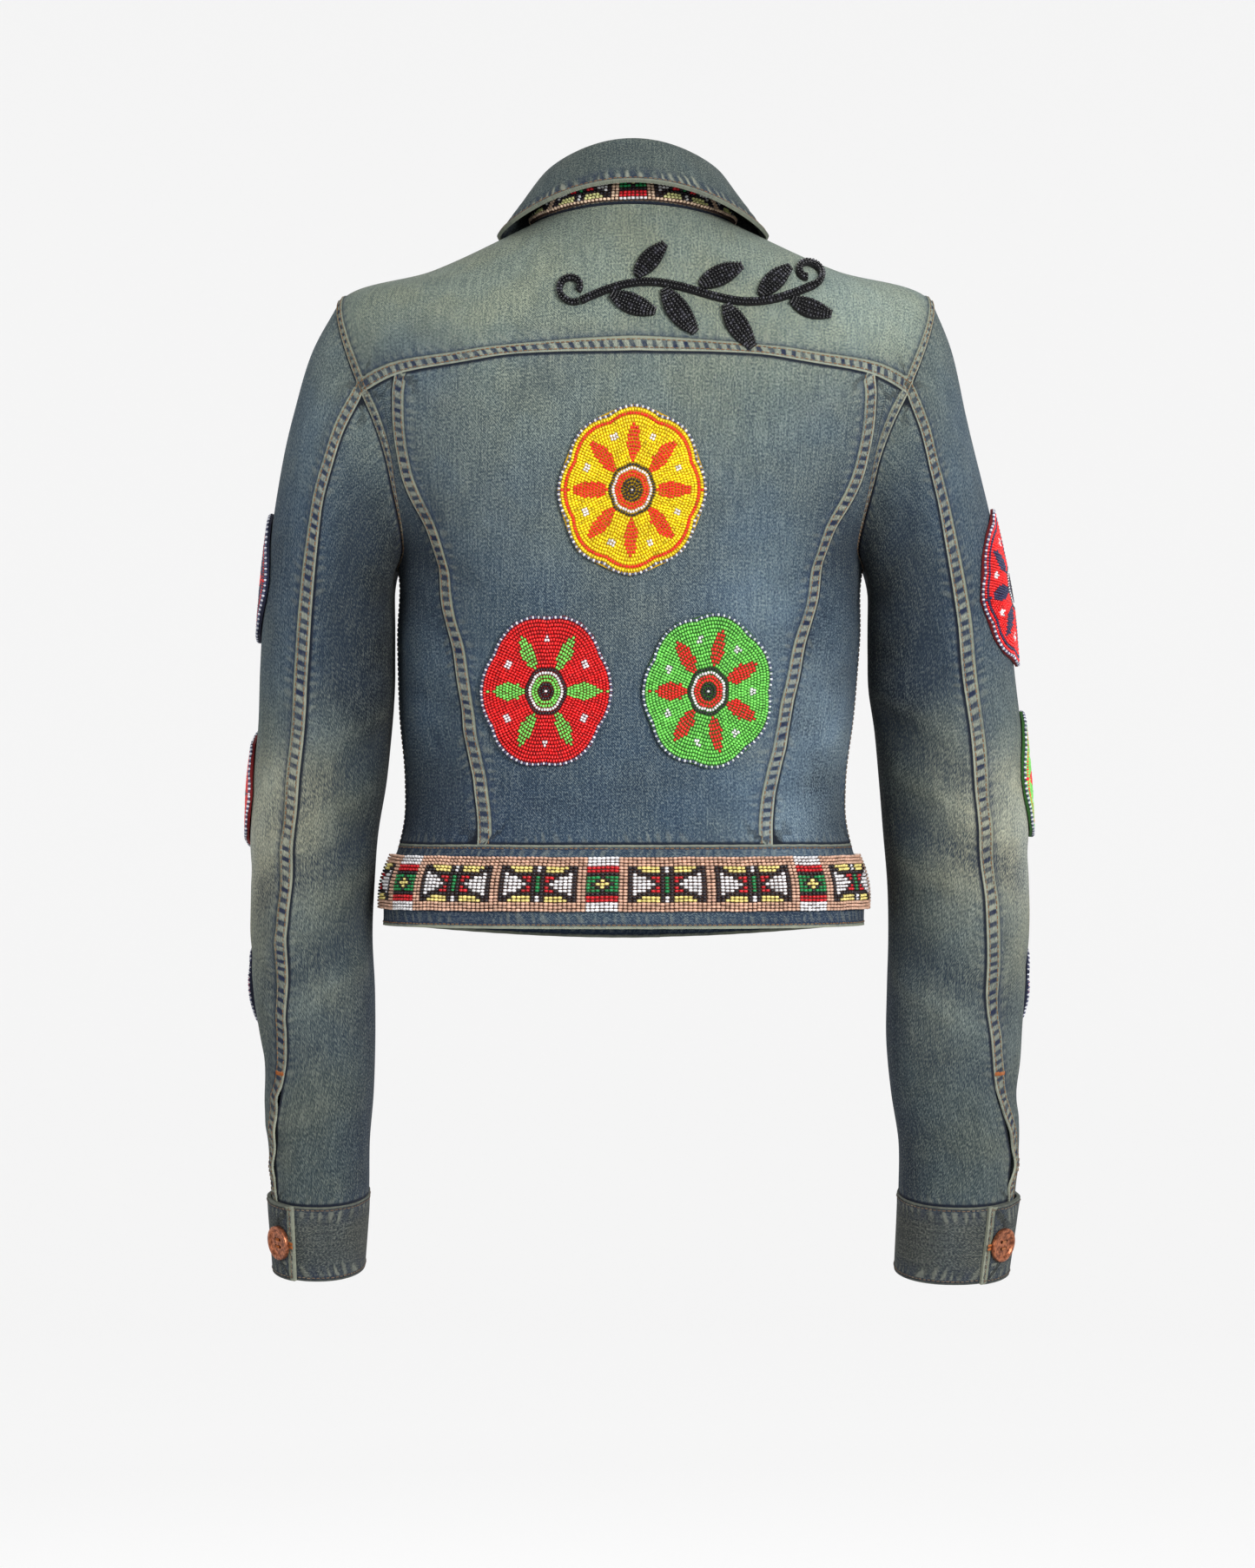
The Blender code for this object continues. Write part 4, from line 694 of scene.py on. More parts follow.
# Button stands: a folded strip down each front edge, the wearer's right one lapped over the left.
LAP_GAP, HEM = 0.4, 6.2
STAND_COLUMNS = (PLACKET_HALF, 15.0, 12.0, 8.0, 4.0, 0.01, -4.0, -8.0, -12.0, -16.0)
for side, word in SIDES:
    columns = [front_edge(middle[:, 1], np.full(len(middle), side * across)) for across in STAND_COLUMNS]
    body_cloth("button_stand_" + word, "placket_" + word, np.stack(columns, axis=1),
               0.0 if side > 0 else DENIM + LAP_GAP, {"left": HEM, "right": HEM})

# Sleeves: an upper and an under piece on each arm, set into the armhole. The back seam is felled towards the
# upper piece down to a bar tack; below it the two edges part in a wavy vent above the cuff.
SLEEVE_COLUMNS = ("reach", "outer_x", "outer_z", "inner_x", "inner_z", "half_depth", "mid_y", "drop")
SLEEVE_LEFT = (
    (0, 190.0, 398, 149.6, 228, 66, 0, 0),
    (30, 205.5, 368, 151.3, 222, 67, 1, 0),
    (65, 216.5, 327, 151.6, 213, 66, 2, 1),
    (100, 224.0, 290, 151.5, 203, 64, 3, 1),
    (140, 230.8, 246, 151.3, 190, 62, 3, 2),
    (180, 235.0, 205, 151.3, 172, 60, 3, 2),
    (220, 237.6, 163, 151.6, 149, 58, 2, 2),
    (255, 239.0, 125, 153.6, 122, 56, 1, 2),
    (290, 242.9, 90, 157.1, 90, 54, 0, 2),
    (325, 244.0, 58, 162.4, 58, 53, -1, 3),
    (360, 244.5, 25, 164.9, 25, 52, -3, 3),
    (395, 244.5, -9, 166.3, -9, 51, -6, 4),
    (430, 242.9, -42, 165.0, -42, 49, -10, 4),
    (465, 238.8, -75, 165.0, -75, 48, -14, 5),
    (500, 237.2, -109, 166.2, -109, 47, -18, 5),
    (535, 234.1, -142, 169.0, -142, 45, -22, 6),
    (566, 232.4, -172, 169.6, -172, 44, -26, 6),
    (619, 229.0, -222, 173.2, -222, 41, -32, 6),
)
SLEEVE_RIGHT = (
    (0, 190.0, 398, 149.6, 228, 66, 0, 0),
    (30, 202.5, 368, 151.3, 222, 67, 1, 0),
    (65, 213.0, 327, 151.6, 213, 66, 2, 1),
    (100, 222.5, 290, 151.5, 203, 64, 3, 1),
    (140, 233.0, 246, 151.3, 190, 62, 3, 2),
    (180, 241.0, 205, 151.3, 172, 60, 3, 2),
    (220, 245.0, 163, 152.0, 149, 58, 2, 2),
    (255, 249.5, 125, 155.9, 122, 57, 1, 2),
    (290, 252.8, 90, 158.9, 90, 56, 0, 2),
    (325, 254.5, 58, 161.5, 58, 55, -1, 3),
    (360, 255.6, 25, 164.3, 25, 54, -3, 3),
    (395, 255.0, -9, 165.0, -9, 53, -6, 4),
    (430, 252.9, -42, 164.4, -42, 52, -10, 4),
    (465, 251.0, -75, 164.2, -75, 51, -14, 5),
    (500, 250.6, -109, 167.5, -109, 49, -18, 5),
    (535, 250.0, -142, 172.6, -142, 47, -22, 6),
    (566, 248.0, -172, 172.8, -172, 46, -26, 6),
    (619, 241.5, -224, 171.0, -224, 43, -32, 6),
)
SLEEVE_ROWS = {1: SLEEVE_LEFT, -1: SLEEVE_RIGHT}
SLEEVES = {side: tracks_of(table, SLEEVE_COLUMNS) for side, table in SLEEVE_ROWS.items()}
SLEEVE_SQUARE, UNDER_ARM_GAP = 2.15, 0.95
CUFF_TOP, CUFF_FOOT, CAP_FADE = 568.0, 619.0, 95.0
FOLDS_BEGIN, FOLDS_END, REACH_STEP, ARM_TURN_STEP = 40.0, 30.0, 2.0, 0.02
# Millimetres round the arm for each degree.
ARC = 0.87
# The seams down the sleeve: reach, angle.
BACK_SEAM = ((0, 73.0), (100, 78.0), (255, 77.0), (360, 74.0), (450, 64.0), (500, 52.0), (535, 40.0),
             (568, 36.0))
FRONT_SEAM = ((0, 0.0), (200, -2.0), (400, -6.0), (568, -12.0))
# The vent: where it starts, how soon it opens and closes, how far its edge sways and at what pitch, how far
# it stands off the arm, and the waves in that, as rise and pitch.
VENT_TOP, VENT_OPENS, VENT_CLOSES, VENT_SWAY, SWAY_PITCH = 486.0, 14.0, 12.0, 2.6, 10.5
VENT_STAND, VENT_WAVES = 1.5, ((0.9, 7.6), (0.7, 4.1))
# Folds and creases of the arms: from angle and reach, to angle and reach, width, rise.
ARM_FOLDS = {
    1: ((112, 60, 100, 200, 17, -3.4), (150, 262, 60, 312, 16, -2.8), (140, 330, 30, 366, 16, -3.8),
        (150, 384, 50, 424, 16, -3.4), (120, 456, 10, 484, 16, -2.6), (330, 300, 250, 366, 17, -3.6),
        (320, 378, 240, 424, 16, -3.2), (290, 70, 265, 190, 18, -3.0)),
    -1: ((112, 66, 98, 206, 17, -3.4), (152, 246, 66, 298, 16, -3.0), (138, 318, 26, 354, 16, -3.6),
         (148, 396, 44, 440, 16, -3.6), (116, 472, 6, 500, 16, -2.6), (332, 290, 252, 356, 17, -3.4),
         (322, 370, 238, 430, 16, -3.2), (292, 76, 264, 200, 18, -2.8)),
}
ARM_CREASES = {
    1: ((128, 84, 92, 168, 7, 1.1), (150, 96, 126, 176, 7, -1.1), (138, 208, 84, 236, 8, -1.1),
        (150, 240, 90, 268, 7, 1.2), (140, 290, 60, 332, 8, 1.3), (120, 312, 74, 324, 6, -1.1),
        (146, 350, 60, 392, 8, 1.3), (110, 372, 40, 388, 7, -1.0), (150, 410, 66, 446, 8, 1.2),
        (120, 436, 30, 458, 7, -1.1), (100, 500, 20, 520, 8, 1.0), (140, 520, 80, 552, 7, -1.0),
        (60, 534, 0, 556, 7, 0.9), (250, 326, 330, 282, 8, 1.2), (240, 396, 320, 356, 8, 1.2),
        (250, 450, 330, 412, 8, -1.1), (20, 340, -30, 366, 8, -0.9), (24, 396, -26, 424, 8, -0.9)),
    -1: ((126, 90, 94, 176, 7, 1.1), (150, 92, 128, 170, 7, -1.2), (140, 196, 88, 226, 8, -1.1),
         (152, 226, 92, 254, 7, 1.2), (142, 280, 62, 318, 8, 1.3), (124, 300, 78, 312, 6, -1.1),
         (144, 340, 54, 376, 8, 1.3), (112, 360, 44, 378, 7, -1.0), (152, 418, 60, 462, 8, 1.3),
         (124, 446, 34, 470, 7, -1.1), (104, 486, 22, 512, 8, 1.0), (138, 514, 84, 546, 7, -1.0),
         (64, 530, 4, 552, 7, 0.9), (252, 318, 332, 274, 8, 1.2), (238, 400, 320, 350, 8, 1.2),
         (252, 446, 330, 406, 8, -1.1), (22, 330, -28, 352, 8, -0.9), (20, 406, -28, 430, 8, -0.9)),
}
# Arm patches: angle round the arm from its outer side, reach down it, how far, tint. Most are the wash; the
# ones marked below also paint light and shade.
ARM_WASH_AND_PAINTED_LIGHT = (
    # The pale patch at angle -2, reach 336, on the outer side by the elbow, is faded wash with a painted
    # highlight.
    (60, 10, 40, MIST), (60, 70, 46, BLUE), (10, 60, 50, SLATE), (-2, 336, 34, linear(212, 217, 209)),
    (60, 130, 36, DUSK), (20, 146, 40, INDIGO), (60, 196, 34, DUSK), (10, 210, 40, SLATE),
    (-30, 170, 50, SLATE), (66, 246, 26, SLATE), (90, 256, 22, ASH), (24, 254, 28, MIST),
    (24, 296, 26, PALE), (58, 300, 24, PALE), (24, 342, 26, PALE), (62, 346, 26, STRAW),
    (90, 290, 22, STRAW), (94, 336, 24, STRAW), (22, 392, 28, STRAW), (62, 394, 26, ASH),
    (92, 388, 26, ASH), (22, 440, 34, ASH), (60, 446, 34, ASH), (92, 448, 30, ASH), (30, 500, 34, ASH),
    (76, 500, 34, MOSS), (76, 552, 22, MOSS), (20, 548, 30, ASH), (108, 530, 26, MOSS),
    (58, 538, 26, MOSS), (116, 440, 22, ASH), (124, 486, 24, MOSS), (130, 396, 26, MOSS),
    # The DEEP patches and the darkest ones between about 100 and 160 degrees, on the side that faces the
    # body, are a darker wash with painted shade.
    (104, 60, 40, DEEP), (110, 140, 34, DEEP), (114, 210, 32, DEEP), (122, 286, 28, MOSS),
    (124, 344, 26, MOSS), (138, 100, 40, DARK_WASH_AND_SHADE), (160, 60, 50, DARK_WASH_AND_SHADE),
    (150, 180, 44, DARK_WASH_AND_SHADE), (156, 260, 44, DARK_WASH_AND_SHADE), (160, 340, 40, DARK_WASH_AND_SHADE),
    (150, 440, 34, DEEP), (154, 520, 34, DEEP), (-40, 330, 40, PALE), (-40, 420, 50, ASH),
    (-60, 230, 60, SLATE), (-60, 520, 60, SLATE), (-120, 120, 60, INDIGO), (-120, 300, 70, DUSK),
    (-120, 450, 70, DUSK),
)


def bare_sleeve(side, angle, reach):
    """Points of a sleeve before it is folded."""
    track = SLEEVES[side]
    across, along = egg(angle, SLEEVE_SQUARE)
    outer_x, outer_z = track["outer_x"](reach), track["outer_z"](reach)
    inner_x, inner_z = track["inner_x"](reach), track["inner_z"](reach)
    x = 0.5 * (outer_x + inner_x) + 0.5 * (outer_x - inner_x) * across
    y = track["mid_y"](reach) + track["half_depth"](reach) * along
    z = 0.5 * (outer_z + inner_z) + 0.5 * (outer_z - inner_z) * across - track["drop"](reach) * along
    spots = np.stack(np.broadcast_arrays(x * side, y, z), axis=-1)
    fade = 1.0 - smooth_step(reach / CAP_FADE)
    return spots + armhole_shift(side, angle) * np.asarray(fade)[..., None]


def armhole_shift(side, angle):
    """From the plain top ring of a sleeve to the armhole, drawn clear of the body under the arm."""
    first = SLEEVE_ROWS[side][0]
    across, along = egg(angle, SLEEVE_SQUARE)
    x = 0.5 * (first[1] + first[3]) + 0.5 * (first[1] - first[3]) * across
    z = 0.5 * (first[2] + first[4]) + 0.5 * (first[2] - first[4]) * across
    ring = np.stack((x * side, first[5] * along, z), axis=-1)
    place = on_side(side, armhole(math.pi - angle))
    edge, away, _ = body(place[..., 0], place[..., 1])
    clear = UNDER_ARM_GAP * smooth_step(0.5 - 0.9 * np.cos(angle))
    return edge + away * clear[..., None] - ring


def sleeve(side, angle, reach):
    """Points of a sleeve, their outward directions, and how far folds raise or sink them."""
    reach, angle = np.broadcast_arrays(np.asarray(reach, float), np.asarray(angle, float))
    spots = bare_sleeve(side, angle, reach)
    away = side * facing(lambda down, turn: bare_sleeve(side, turn, down), np.maximum(reach, REACH_STEP),
                         angle, REACH_STEP, ARM_TURN_STEP)
    degrees = np.mod(np.degrees(angle), 360.0)
    folds = [(a0 * ARC, r0, a1 * ARC, r1, width, rise) for a0, r0, a1, r1, width, rise in
             ARM_FOLDS[side] + ARM_CREASES[side]]
    sunk = crease(degrees * ARC, reach, folds) + crease((degrees - 360.0) * ARC, reach, folds)
    sunk = sunk * smooth_step(reach / FOLDS_BEGIN) * smooth_step((CUFF_TOP - reach) / FOLDS_END)
    return spots + away * sunk[..., None], away, sunk


# The front seam starts where the yoke's own edge meets the armhole in front.
reach_rows = np.linspace(0.0, CUFF_TOP, 190)
reach = reach_rows[:, None]
back = smooth_track(*np.array(BACK_SEAM, float).T)(reach)
front_turn = walk(armhole_line(SHOULDER_SEAM_TURN, 2.0 * math.pi), 2)[1]
front_turn = 2.0 * math.pi - math.acos((ARMHOLE_MIDDLE - front_turn[1]) / ARMHOLE_HALF)
front = 180.0 - math.degrees(front_turn) + smooth_track(*np.array(FRONT_SEAM, float).T)(reach)
edge = back - np.array((0.0, 3.2, 6.4, STRIP, STRIP + STRIP_STEP)) / ARC
share = np.linspace(0.0, 1.0, 42)[None, 1:]
upper = np.concatenate((edge, edge[:, -1:] + (front - edge[:, -1:]) * share), axis=1)
under = front + (back - 360.0 - front) * np.linspace(0.0, 1.0, 44)[None]
# The vent's edge sways along the arm and stands off it in waves, both dying away over the columns behind it.
loose = smooth_step((reach - VENT_TOP) / VENT_OPENS) * smooth_step((CUFF_TOP - reach) / VENT_CLOSES)
sway_columns = np.interp(np.arange(upper.shape[1]), (0, 4, 9), (1.0, 0.8, 0.0))[None]
wave_columns = np.array((1.0, 0.86, 0.66, 0.44, 0.30, 0.12))
for side, word in SIDES:
    sway = VENT_SWAY * np.sin(reach / SWAY_PITCH + 1.6 * side) * loose / ARC
    wavy = VENT_STAND + sum(rise * np.sin(reach / pitch + shift)
                            for (rise, pitch), shift in zip(VENT_WAVES, (1.2 * side, 0.4)))
    for name, degrees, seam in (("upper", upper + sway * sway_columns, STRIP), ("under", under, UNDER)):
        points, out, relief = sleeve(side, np.radians(degrees), reach)
        lift = np.zeros(points.shape[:2])
        if name == "upper":
            lift = strip_lift(points.shape, "left")
            lift[:, :6] += loose * wavy * wave_columns
        turned = np.mod(degrees + 180.0, 360.0) - 180.0
        cloth(f"arm_{name}_{word}", f"sleeve_{name}_{word}", points + out * lift[..., None], out,
              washed(turned, reach, ARM_WASH_AND_PAINTED_LIGHT), relief,
              {"left": seam, "right": UNDER, "bottom": UNDER, "top": UNDER})

# Cuffs: a doubled, darker band on each sleeve, its outer end lapped over the under end and buttoned.
TWO_PLY = 2.3
# A band is counted in even steps all round; its outer end climbs over the other one between two of them.
CUFF_STEPS, CUFF_FIRST, CUFF_LAST, CUFF_CLIMB, CUFF_RISE = 28, 2, 33, (27, 29.4), 0.8
RIPPLE, CUFF_RIPPLES, CUFF_FADE = 0.35, 11.0, 12.0
CUFF_WASH = ((0, 570, 60, linear(78, 81, 80)), (90, 600, 50, linear(70, 73, 72)),
             (-90, 600, 60, linear(86, 92, 92)), (180, 600, 60, linear(74, 80, 86)))


def lap_lift(step, climb, thick):
    """How far a band's outer end climbs so that it lies over its under end."""
    return (thick + LAP_GAP) * smooth_step((step - climb[0]) / (climb[1] - climb[0]))


steps = np.linspace(CUFF_FIRST, CUFF_LAST, 96)
reach = np.linspace(CUFF_TOP, CUFF_FOOT, 18)[:, None]
for side, word in SIDES:
    angle = steps[None] * (2.0 * math.pi / CUFF_STEPS)
    points, out, relief = sleeve(side, angle, reach)
    at_seam = smooth_step((CUFF_TOP + CUFF_FADE - reach) / CUFF_FADE)
    ripple = RIPPLE * np.sin(angle * CUFF_RIPPLES + side) * at_seam
    lift = CUFF_RISE + lap_lift(steps, CUFF_CLIMB, TWO_PLY)[None] + ripple
    cloth("sleeve_cuff_" + word, "cuff_" + word, points + out * lift[..., None], out,
          washed(np.mod(np.degrees(angle), 360.0) - 180.0, reach, CUFF_WASH), ripple,
          {"bottom": 1.4, "top": 1.2, "right": 4.6}, TWO_PLY, DARK_DENIM,
          flip_weave=True)

# Waistband: a doubled band sewn over the lower edge of every panel, its ends lapped and buttoned in front.
BAND_STEPS, BAND_FIRST, BAND_LAST, BAND_CLIMB, BAND_RISE = 40, -11, 31, (27.2, 28.7), 0.8
BAND_RIPPLES, BAND_FADE = 61.0, 6.0
steps = np.linspace(BAND_FIRST, BAND_LAST, 290)
angle = steps[None] * (2.0 * math.pi / BAND_STEPS)
levels = [np.linspace(*run) for run in ((0.0, 10.5, 4), (14.0, 41.0, 5), (44.0, BAND_TOP, 4))]
levels = np.concatenate(levels)[:, None]
points, out, relief = body(angle, levels)
at_edges = sum(smooth_step((BAND_FADE - away) / BAND_FADE) for away in (BAND_TOP - levels, levels))
ripple = RIPPLE * np.sin(angle * BAND_RIPPLES) * at_edges
lift = BAND_RISE + lap_lift(steps, BAND_CLIMB, TWO_PLY)[None] + ripple
cloth("waist_band", "waistband", points + out * lift[..., None], out,
      washed(points[..., 0], points[..., 2], BODY_WASH_AND_PAINTED_LIGHT), relief + ripple, {"bottom": 1.9, "top": 1.6},
      TWO_PLY, flip_weave=True)

# Collar: a doubled stand that rises from the neck seam and a doubled leaf that turns over its top edge and
# falls, rubbed pale along the fold and the outer edge, and puckered above the edge stitching.
STAND_RINGS = (
    ("foot", 447.4, 455.4, 398.4, 65.4, 55.6, 61.6),
    ("middle", 460.0, 471.5, 412.0, 57.0, 52.5, 58.6),
    ("top", 473.0, 487.0, 426.0, 50.5, 50.0, 56.0),
)
LEAF_RINGS = (
    ("seam", 472.2, 486.8, 425.8, 48.5, 47.7, 53.8),
    ("turn_in", 478.6, 492.8, 431.6, 48.4, 48.2, 54.4),
    ("crown", 482.4, 497.0, 435.6, 52.2, 52.2, 59.0),
    ("turn_out", 479.2, 494.0, 432.0, 58.0, 58.0, 65.0),
    ("upper", 467.5, 485.5, 417.0, 67.0, 66.5, 71.0),
    ("lower", 453.2, 476.0, 398.0, 77.2, 74.5, 77.0),
    ("edge", 440.6, 466.5, 378.0, 86.5, 81.5, 83.0),
)
COLLAR_HEM, LEAF_ROWS, LEAF_COLUMNS = 1.7, 44, 136
# How far the leaf's puckers, broad waves, lip and rubbed fold rise, and how much of that is shape.
PUCKER_RISE, WAVE_RISE, LIP_RISE, RUB_RISE, LEAF_SHAPE = 0.75, 1.1, 1.5, 1.6, 0.55
STAND_FRONT, POINT_FRONT = math.radians(13.0), math.radians(27.0)
COLLAR_WASH = ((0, 470, 60, linear(98, 111, 110)), (60, 460, 40, linear(90, 104, 106)),
               (-60, 460, 40, linear(90, 104, 106)), (0, 395, 60, linear(90, 102, 106)))


def collar_net(rings, gaps, rows, columns, share=(0.0, 1.0)):
    """Points of a collar piece, open at the front; share picks the part between its first and last ring."""
    places = np.arange(len(rings), dtype=float)
    stops = np.linspace(share[0], share[1], rows) * (len(rings) - 1)
    side, back, front, half_width, back_y, front_y = (
        smooth_track(places, np.array(column, float))(stops)[:, None] for column in list(zip(*rings))[1:])
    gap = np.interp(stops, (0, len(rings) - 1), gaps)[:, None]
    angle = -math.pi / 2 + gap + (2.0 * math.pi - 2.0 * gap) * np.linspace(0.0, 1.0, columns)[None]
    behind = np.sin(angle) >= 0.0
    far, deep = np.where(behind, back, front), np.where(behind, back_y, front_y)
    x = BODY["lean"](NECK_LEVEL) + half_width * np.cos(angle)
    z = side + (far - side) * np.sin(angle) ** 2
    points = np.stack((x, deep * np.sin(angle), z), axis=-1)
    return points, unit(np.cross(np.gradient(points, axis=1), np.gradient(points, axis=0)))


points, out = collar_net(STAND_RINGS, (STAND_FRONT, STAND_FRONT), 12, 110)
cloth("stand", "collar_stand", points, out, washed(points[..., 0], points[..., 2], COLLAR_WASH), 0.0,
      {"bottom": UNDER}, TWO_PLY, flip_weave=True)
points, out = collar_net(LEAF_RINGS, (STAND_FRONT, POINT_FRONT), LEAF_ROWS, LEAF_COLUMNS)
out = -out
along = run_lengths(points, 1)
fall = np.linspace(0.0, 1.0, LEAF_ROWS)[:, None]
turn = np.linspace(0.0, 1.0, LEAF_COLUMNS)[None]
puckers = np.sin(along / 2.2 + 1.4 * np.sin(along / 37.0))
near_stitches = smooth_step((fall - 0.72) / 0.12) * (1.0 - smooth_step((fall - 0.93) / 0.05))
waves = np.sin(turn * 19.0 + fall * 3.0) * np.exp(-((fall - 0.60) / 0.13) ** 2)
lip = smooth_step((fall - 0.955) / 0.03)
relief = PUCKER_RISE * puckers * near_stitches + WAVE_RISE * waves + LIP_RISE * lip
# The colour reads this relief too: the fold at the crown is rubbed pale, and the puckers, waves and lip get
# pale ridges and dark troughs, partly wear and partly painted highlight and painted shade.
rubbed = relief + RUB_RISE * np.exp(-((fall - 0.36) / 0.08) ** 2)
cloth("collar_leaf", "collar", points + out * (relief * LEAF_SHAPE)[..., None], out,
      washed(points[..., 0], points[..., 2], COLLAR_WASH), rubbed, {"top": COLLAR_HEM}, TWO_PLY, COLLAR_DENIM)

# Waist bead band: a loom-woven strip of glass beads, seventeen rows high, sewn round the waistband and ending
# short of the lapped front. The chart is the traditional one of boxed triangles and crossed blocks on tan.
BEAD_TAN, BEAD_WHITE = linear(214, 172, 148), linear(238, 236, 238)
BEAD_RED, BEAD_BLACK, BEAD_GREEN = linear(206, 18, 34), linear(22, 17, 28), linear(10, 138, 74)
BEAD_CREAM = linear(248, 226, 138)
BEAD_INKS = {"t": BEAD_TAN, "w": BEAD_WHITE, "r": BEAD_RED, "k": BEAD_BLACK, "g": BEAD_GREEN, "y": BEAD_CREAM}
# Half of each motif, from its border row to its middle row; the other half mirrors it.
BOX_HALF = 3 * ("ttttttttttttttttt",) + ("kkyyyyykwkyyyyykk", "kkkyyyykwkyyyykkk", "kwkkkkkkkkkkkkkwk",
                                         "kwwwkrrkgkrrkwwwk", "kwwwwkrkgkrkwwwwk", "kwwwwwkkgkkwwwwwk")
BLOCK_HALF = 3 * ("wwwwwww",) + 2 * ("rrrrrrr",) + ("kkkkkkk", "gggkggg", "ggkykgg", "gkyyykg")
BAND_COLUMN, BAND_ROWS, NECK_COLUMN, NECK_ROWS = 2.85, 17, 2.26, 13
# How far a band's ground lies off the cloth, how thick it is, and how far above it a bead's middle lies.
REST_GAP, GROUND_THICK, BAND_BEAD_SEAT = 0.3, 1.8, 0.5
# How widely the beads of one colour differ, from the darkest share of it to the palest.
INK_SPREAD, INK_LEAST, INK_MOST = 0.14, 0.6, 1.35
rng = np.random.default_rng(11)


def taken(piece):
    """A modelled form's corners and faces, to be laid many times over; the form itself goes."""
    corners = np.array([tuple(vert.co) for vert in piece.data.vertices])
    faces = [tuple(face.vertices) for face in piece.data.polygons]
    bpy.data.objects.remove(piece, do_unlink=True)
    return corners, faces


def bead_form(width, length, sides, drum=0.56):
    """One closed glass bead, its hole along X: a drum whose two ends are drawn out to their middles."""
    bpy.ops.object.select_all(action="DESELECT")
    bpy.ops.mesh.primitive_cylinder_add(vertices=sides, radius=width / 2, depth=length * drum,
                                        end_fill_type="TRIFAN", rotation=(0, math.pi / 2, 0))
    made = bpy.context.object
    bpy.ops.object.transform_apply(rotation=True)
    bpy.ops.object.mode_set(mode="EDIT")
    bpy.ops.mesh.select_mode(type="VERT")
    bpy.ops.mesh.select_all(action="DESELECT")
    bpy.ops.object.mode_set(mode="OBJECT")
    for vert in made.data.vertices:
        vert.select = math.hypot(vert.co.y, vert.co.z) < 0.01 * width
    bpy.ops.object.mode_set(mode="EDIT")
    bpy.ops.transform.resize(value=(1.0 / drum - 0.08, 1.0, 1.0), center_override=(0.0, 0.0, 0.0))
    bpy.ops.object.mode_set(mode="OBJECT")
    return taken(made)


def strung(name, form, spots, holes, out, inks, slot, finish, wobble=0.06, spread=0.05):
    """Copies of one bead, each turned to its thread and set on its spot, as one piece."""
    corners, faces = form
    count, size = len(spots), len(corners)
    holes = unit(holes - out * np.sum(holes * out, axis=-1, keepdims=True))
    beside = np.cross(holes, out)
    along, aside = (rng.standard_normal((count, 1)) for _ in range(2))
    spots = spots + wobble * (along * holes + aside * beside)
    grow = 1.0 + spread * rng.standard_normal((count, 1, 1))
    frames = np.stack((holes, out, beside), axis=1)
    laid = in_frame(spots[:, None] + np.einsum("vk,nkj->nvj", corners, frames) * grow)
    mesh = bpy.data.meshes.new(name)
    sizes = np.array([len(face) for face in faces])
    flat = np.concatenate([np.array(face) for face in faces])
    mesh.vertices.add(count * size)
    mesh.vertices.foreach_set("co", laid.ravel())
    mesh.loops.add(count * len(flat))
    mesh.loops.foreach_set("vertex_index", (flat[None] + np.arange(count)[:, None] * size).ravel())
    mesh.polygons.add(count * len(sizes))
    starts = np.concatenate(([0], np.cumsum(sizes)[:-1]))
    mesh.polygons.foreach_set("loop_start", (starts[None] + np.arange(count)[:, None] * len(flat)).ravel())
    mesh.update(calc_edges=True)
    mesh.validate()
    ink = np.ones((count, 4))
    ink[:, :3] = inks * np.clip(1.0 + INK_SPREAD * rng.standard_normal((count, 1)), INK_LEAST, INK_MOST)
    paint(mesh, "ink", "FLOAT_COLOR", np.repeat(ink, size, axis=0))
    mesh.materials.append(finish)
    piece = bpy.data.objects.new(name, mesh)
    bpy.context.collection.objects.link(piece)
    select_only(piece)
    bpy.ops.object.shade_smooth()
    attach(piece, "root")
    return piece


def glass(name, dull, rough):
    """Opaque bead glass, its gloss smeared in places."""
    made, tree, skin = new_material(name)
    ink, smear = tree.attribute("ink"), tree.place().noise(700.0, 1.0)
    ((1.0 - smear) * dull).blend(ink, linear(96, 84, 74)).feed(skin["Base Color"])
    (smear * 0.2 + rough).feed(skin["Roughness"])
    skin["Specular IOR Level"].default_value = 0.55
    return made


def felt(name, colour):
    """The stiff ground under beadwork: pressed fibre and thread, with a soft nap."""
    made, tree, skin = new_material(name)
    nap = tree.place().noise(1400.0, 3.0, 0.7)
    nap.blend([0.5 * c for c in colour], [min(1.0, 1.5 * c) for c in colour]).feed(skin["Base Color"])
    skin["Roughness"].default_value = 0.92
    nap.emboss(skin, 0.6, 0.0004)
    return made


def dress(finish, node):
    """Give a CAD piece that stays in view its finish."""
    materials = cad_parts[node].data.materials
    materials.clear()
    materials.append(finish)


GLASS = glass("bead glass", 0.12, 0.20)
BAND_GROUND = felt("bead thread", linear(74, 52, 44))


def chart(rows, columns):
    """The ink of each bead of a band: a block, then two boxes, with tan columns between."""
    box, block = (np.array([list(row) for row in half + half[-2::-1]]) for half in (BOX_HALF, BLOCK_HALF))
    tan = np.full((len(box), 2), "t")
    repeat = np.concatenate((block, tan, box, tan, box, tan), axis=1)
    top, start = (len(box) - rows) // 2, columns // 2 - block.shape[1] // 2
    picked = repeat[top:top + rows, (np.arange(columns) - start) % repeat.shape[1]]
    return np.array([[BEAD_INKS[ink] for ink in row] for row in picked[::-1]])


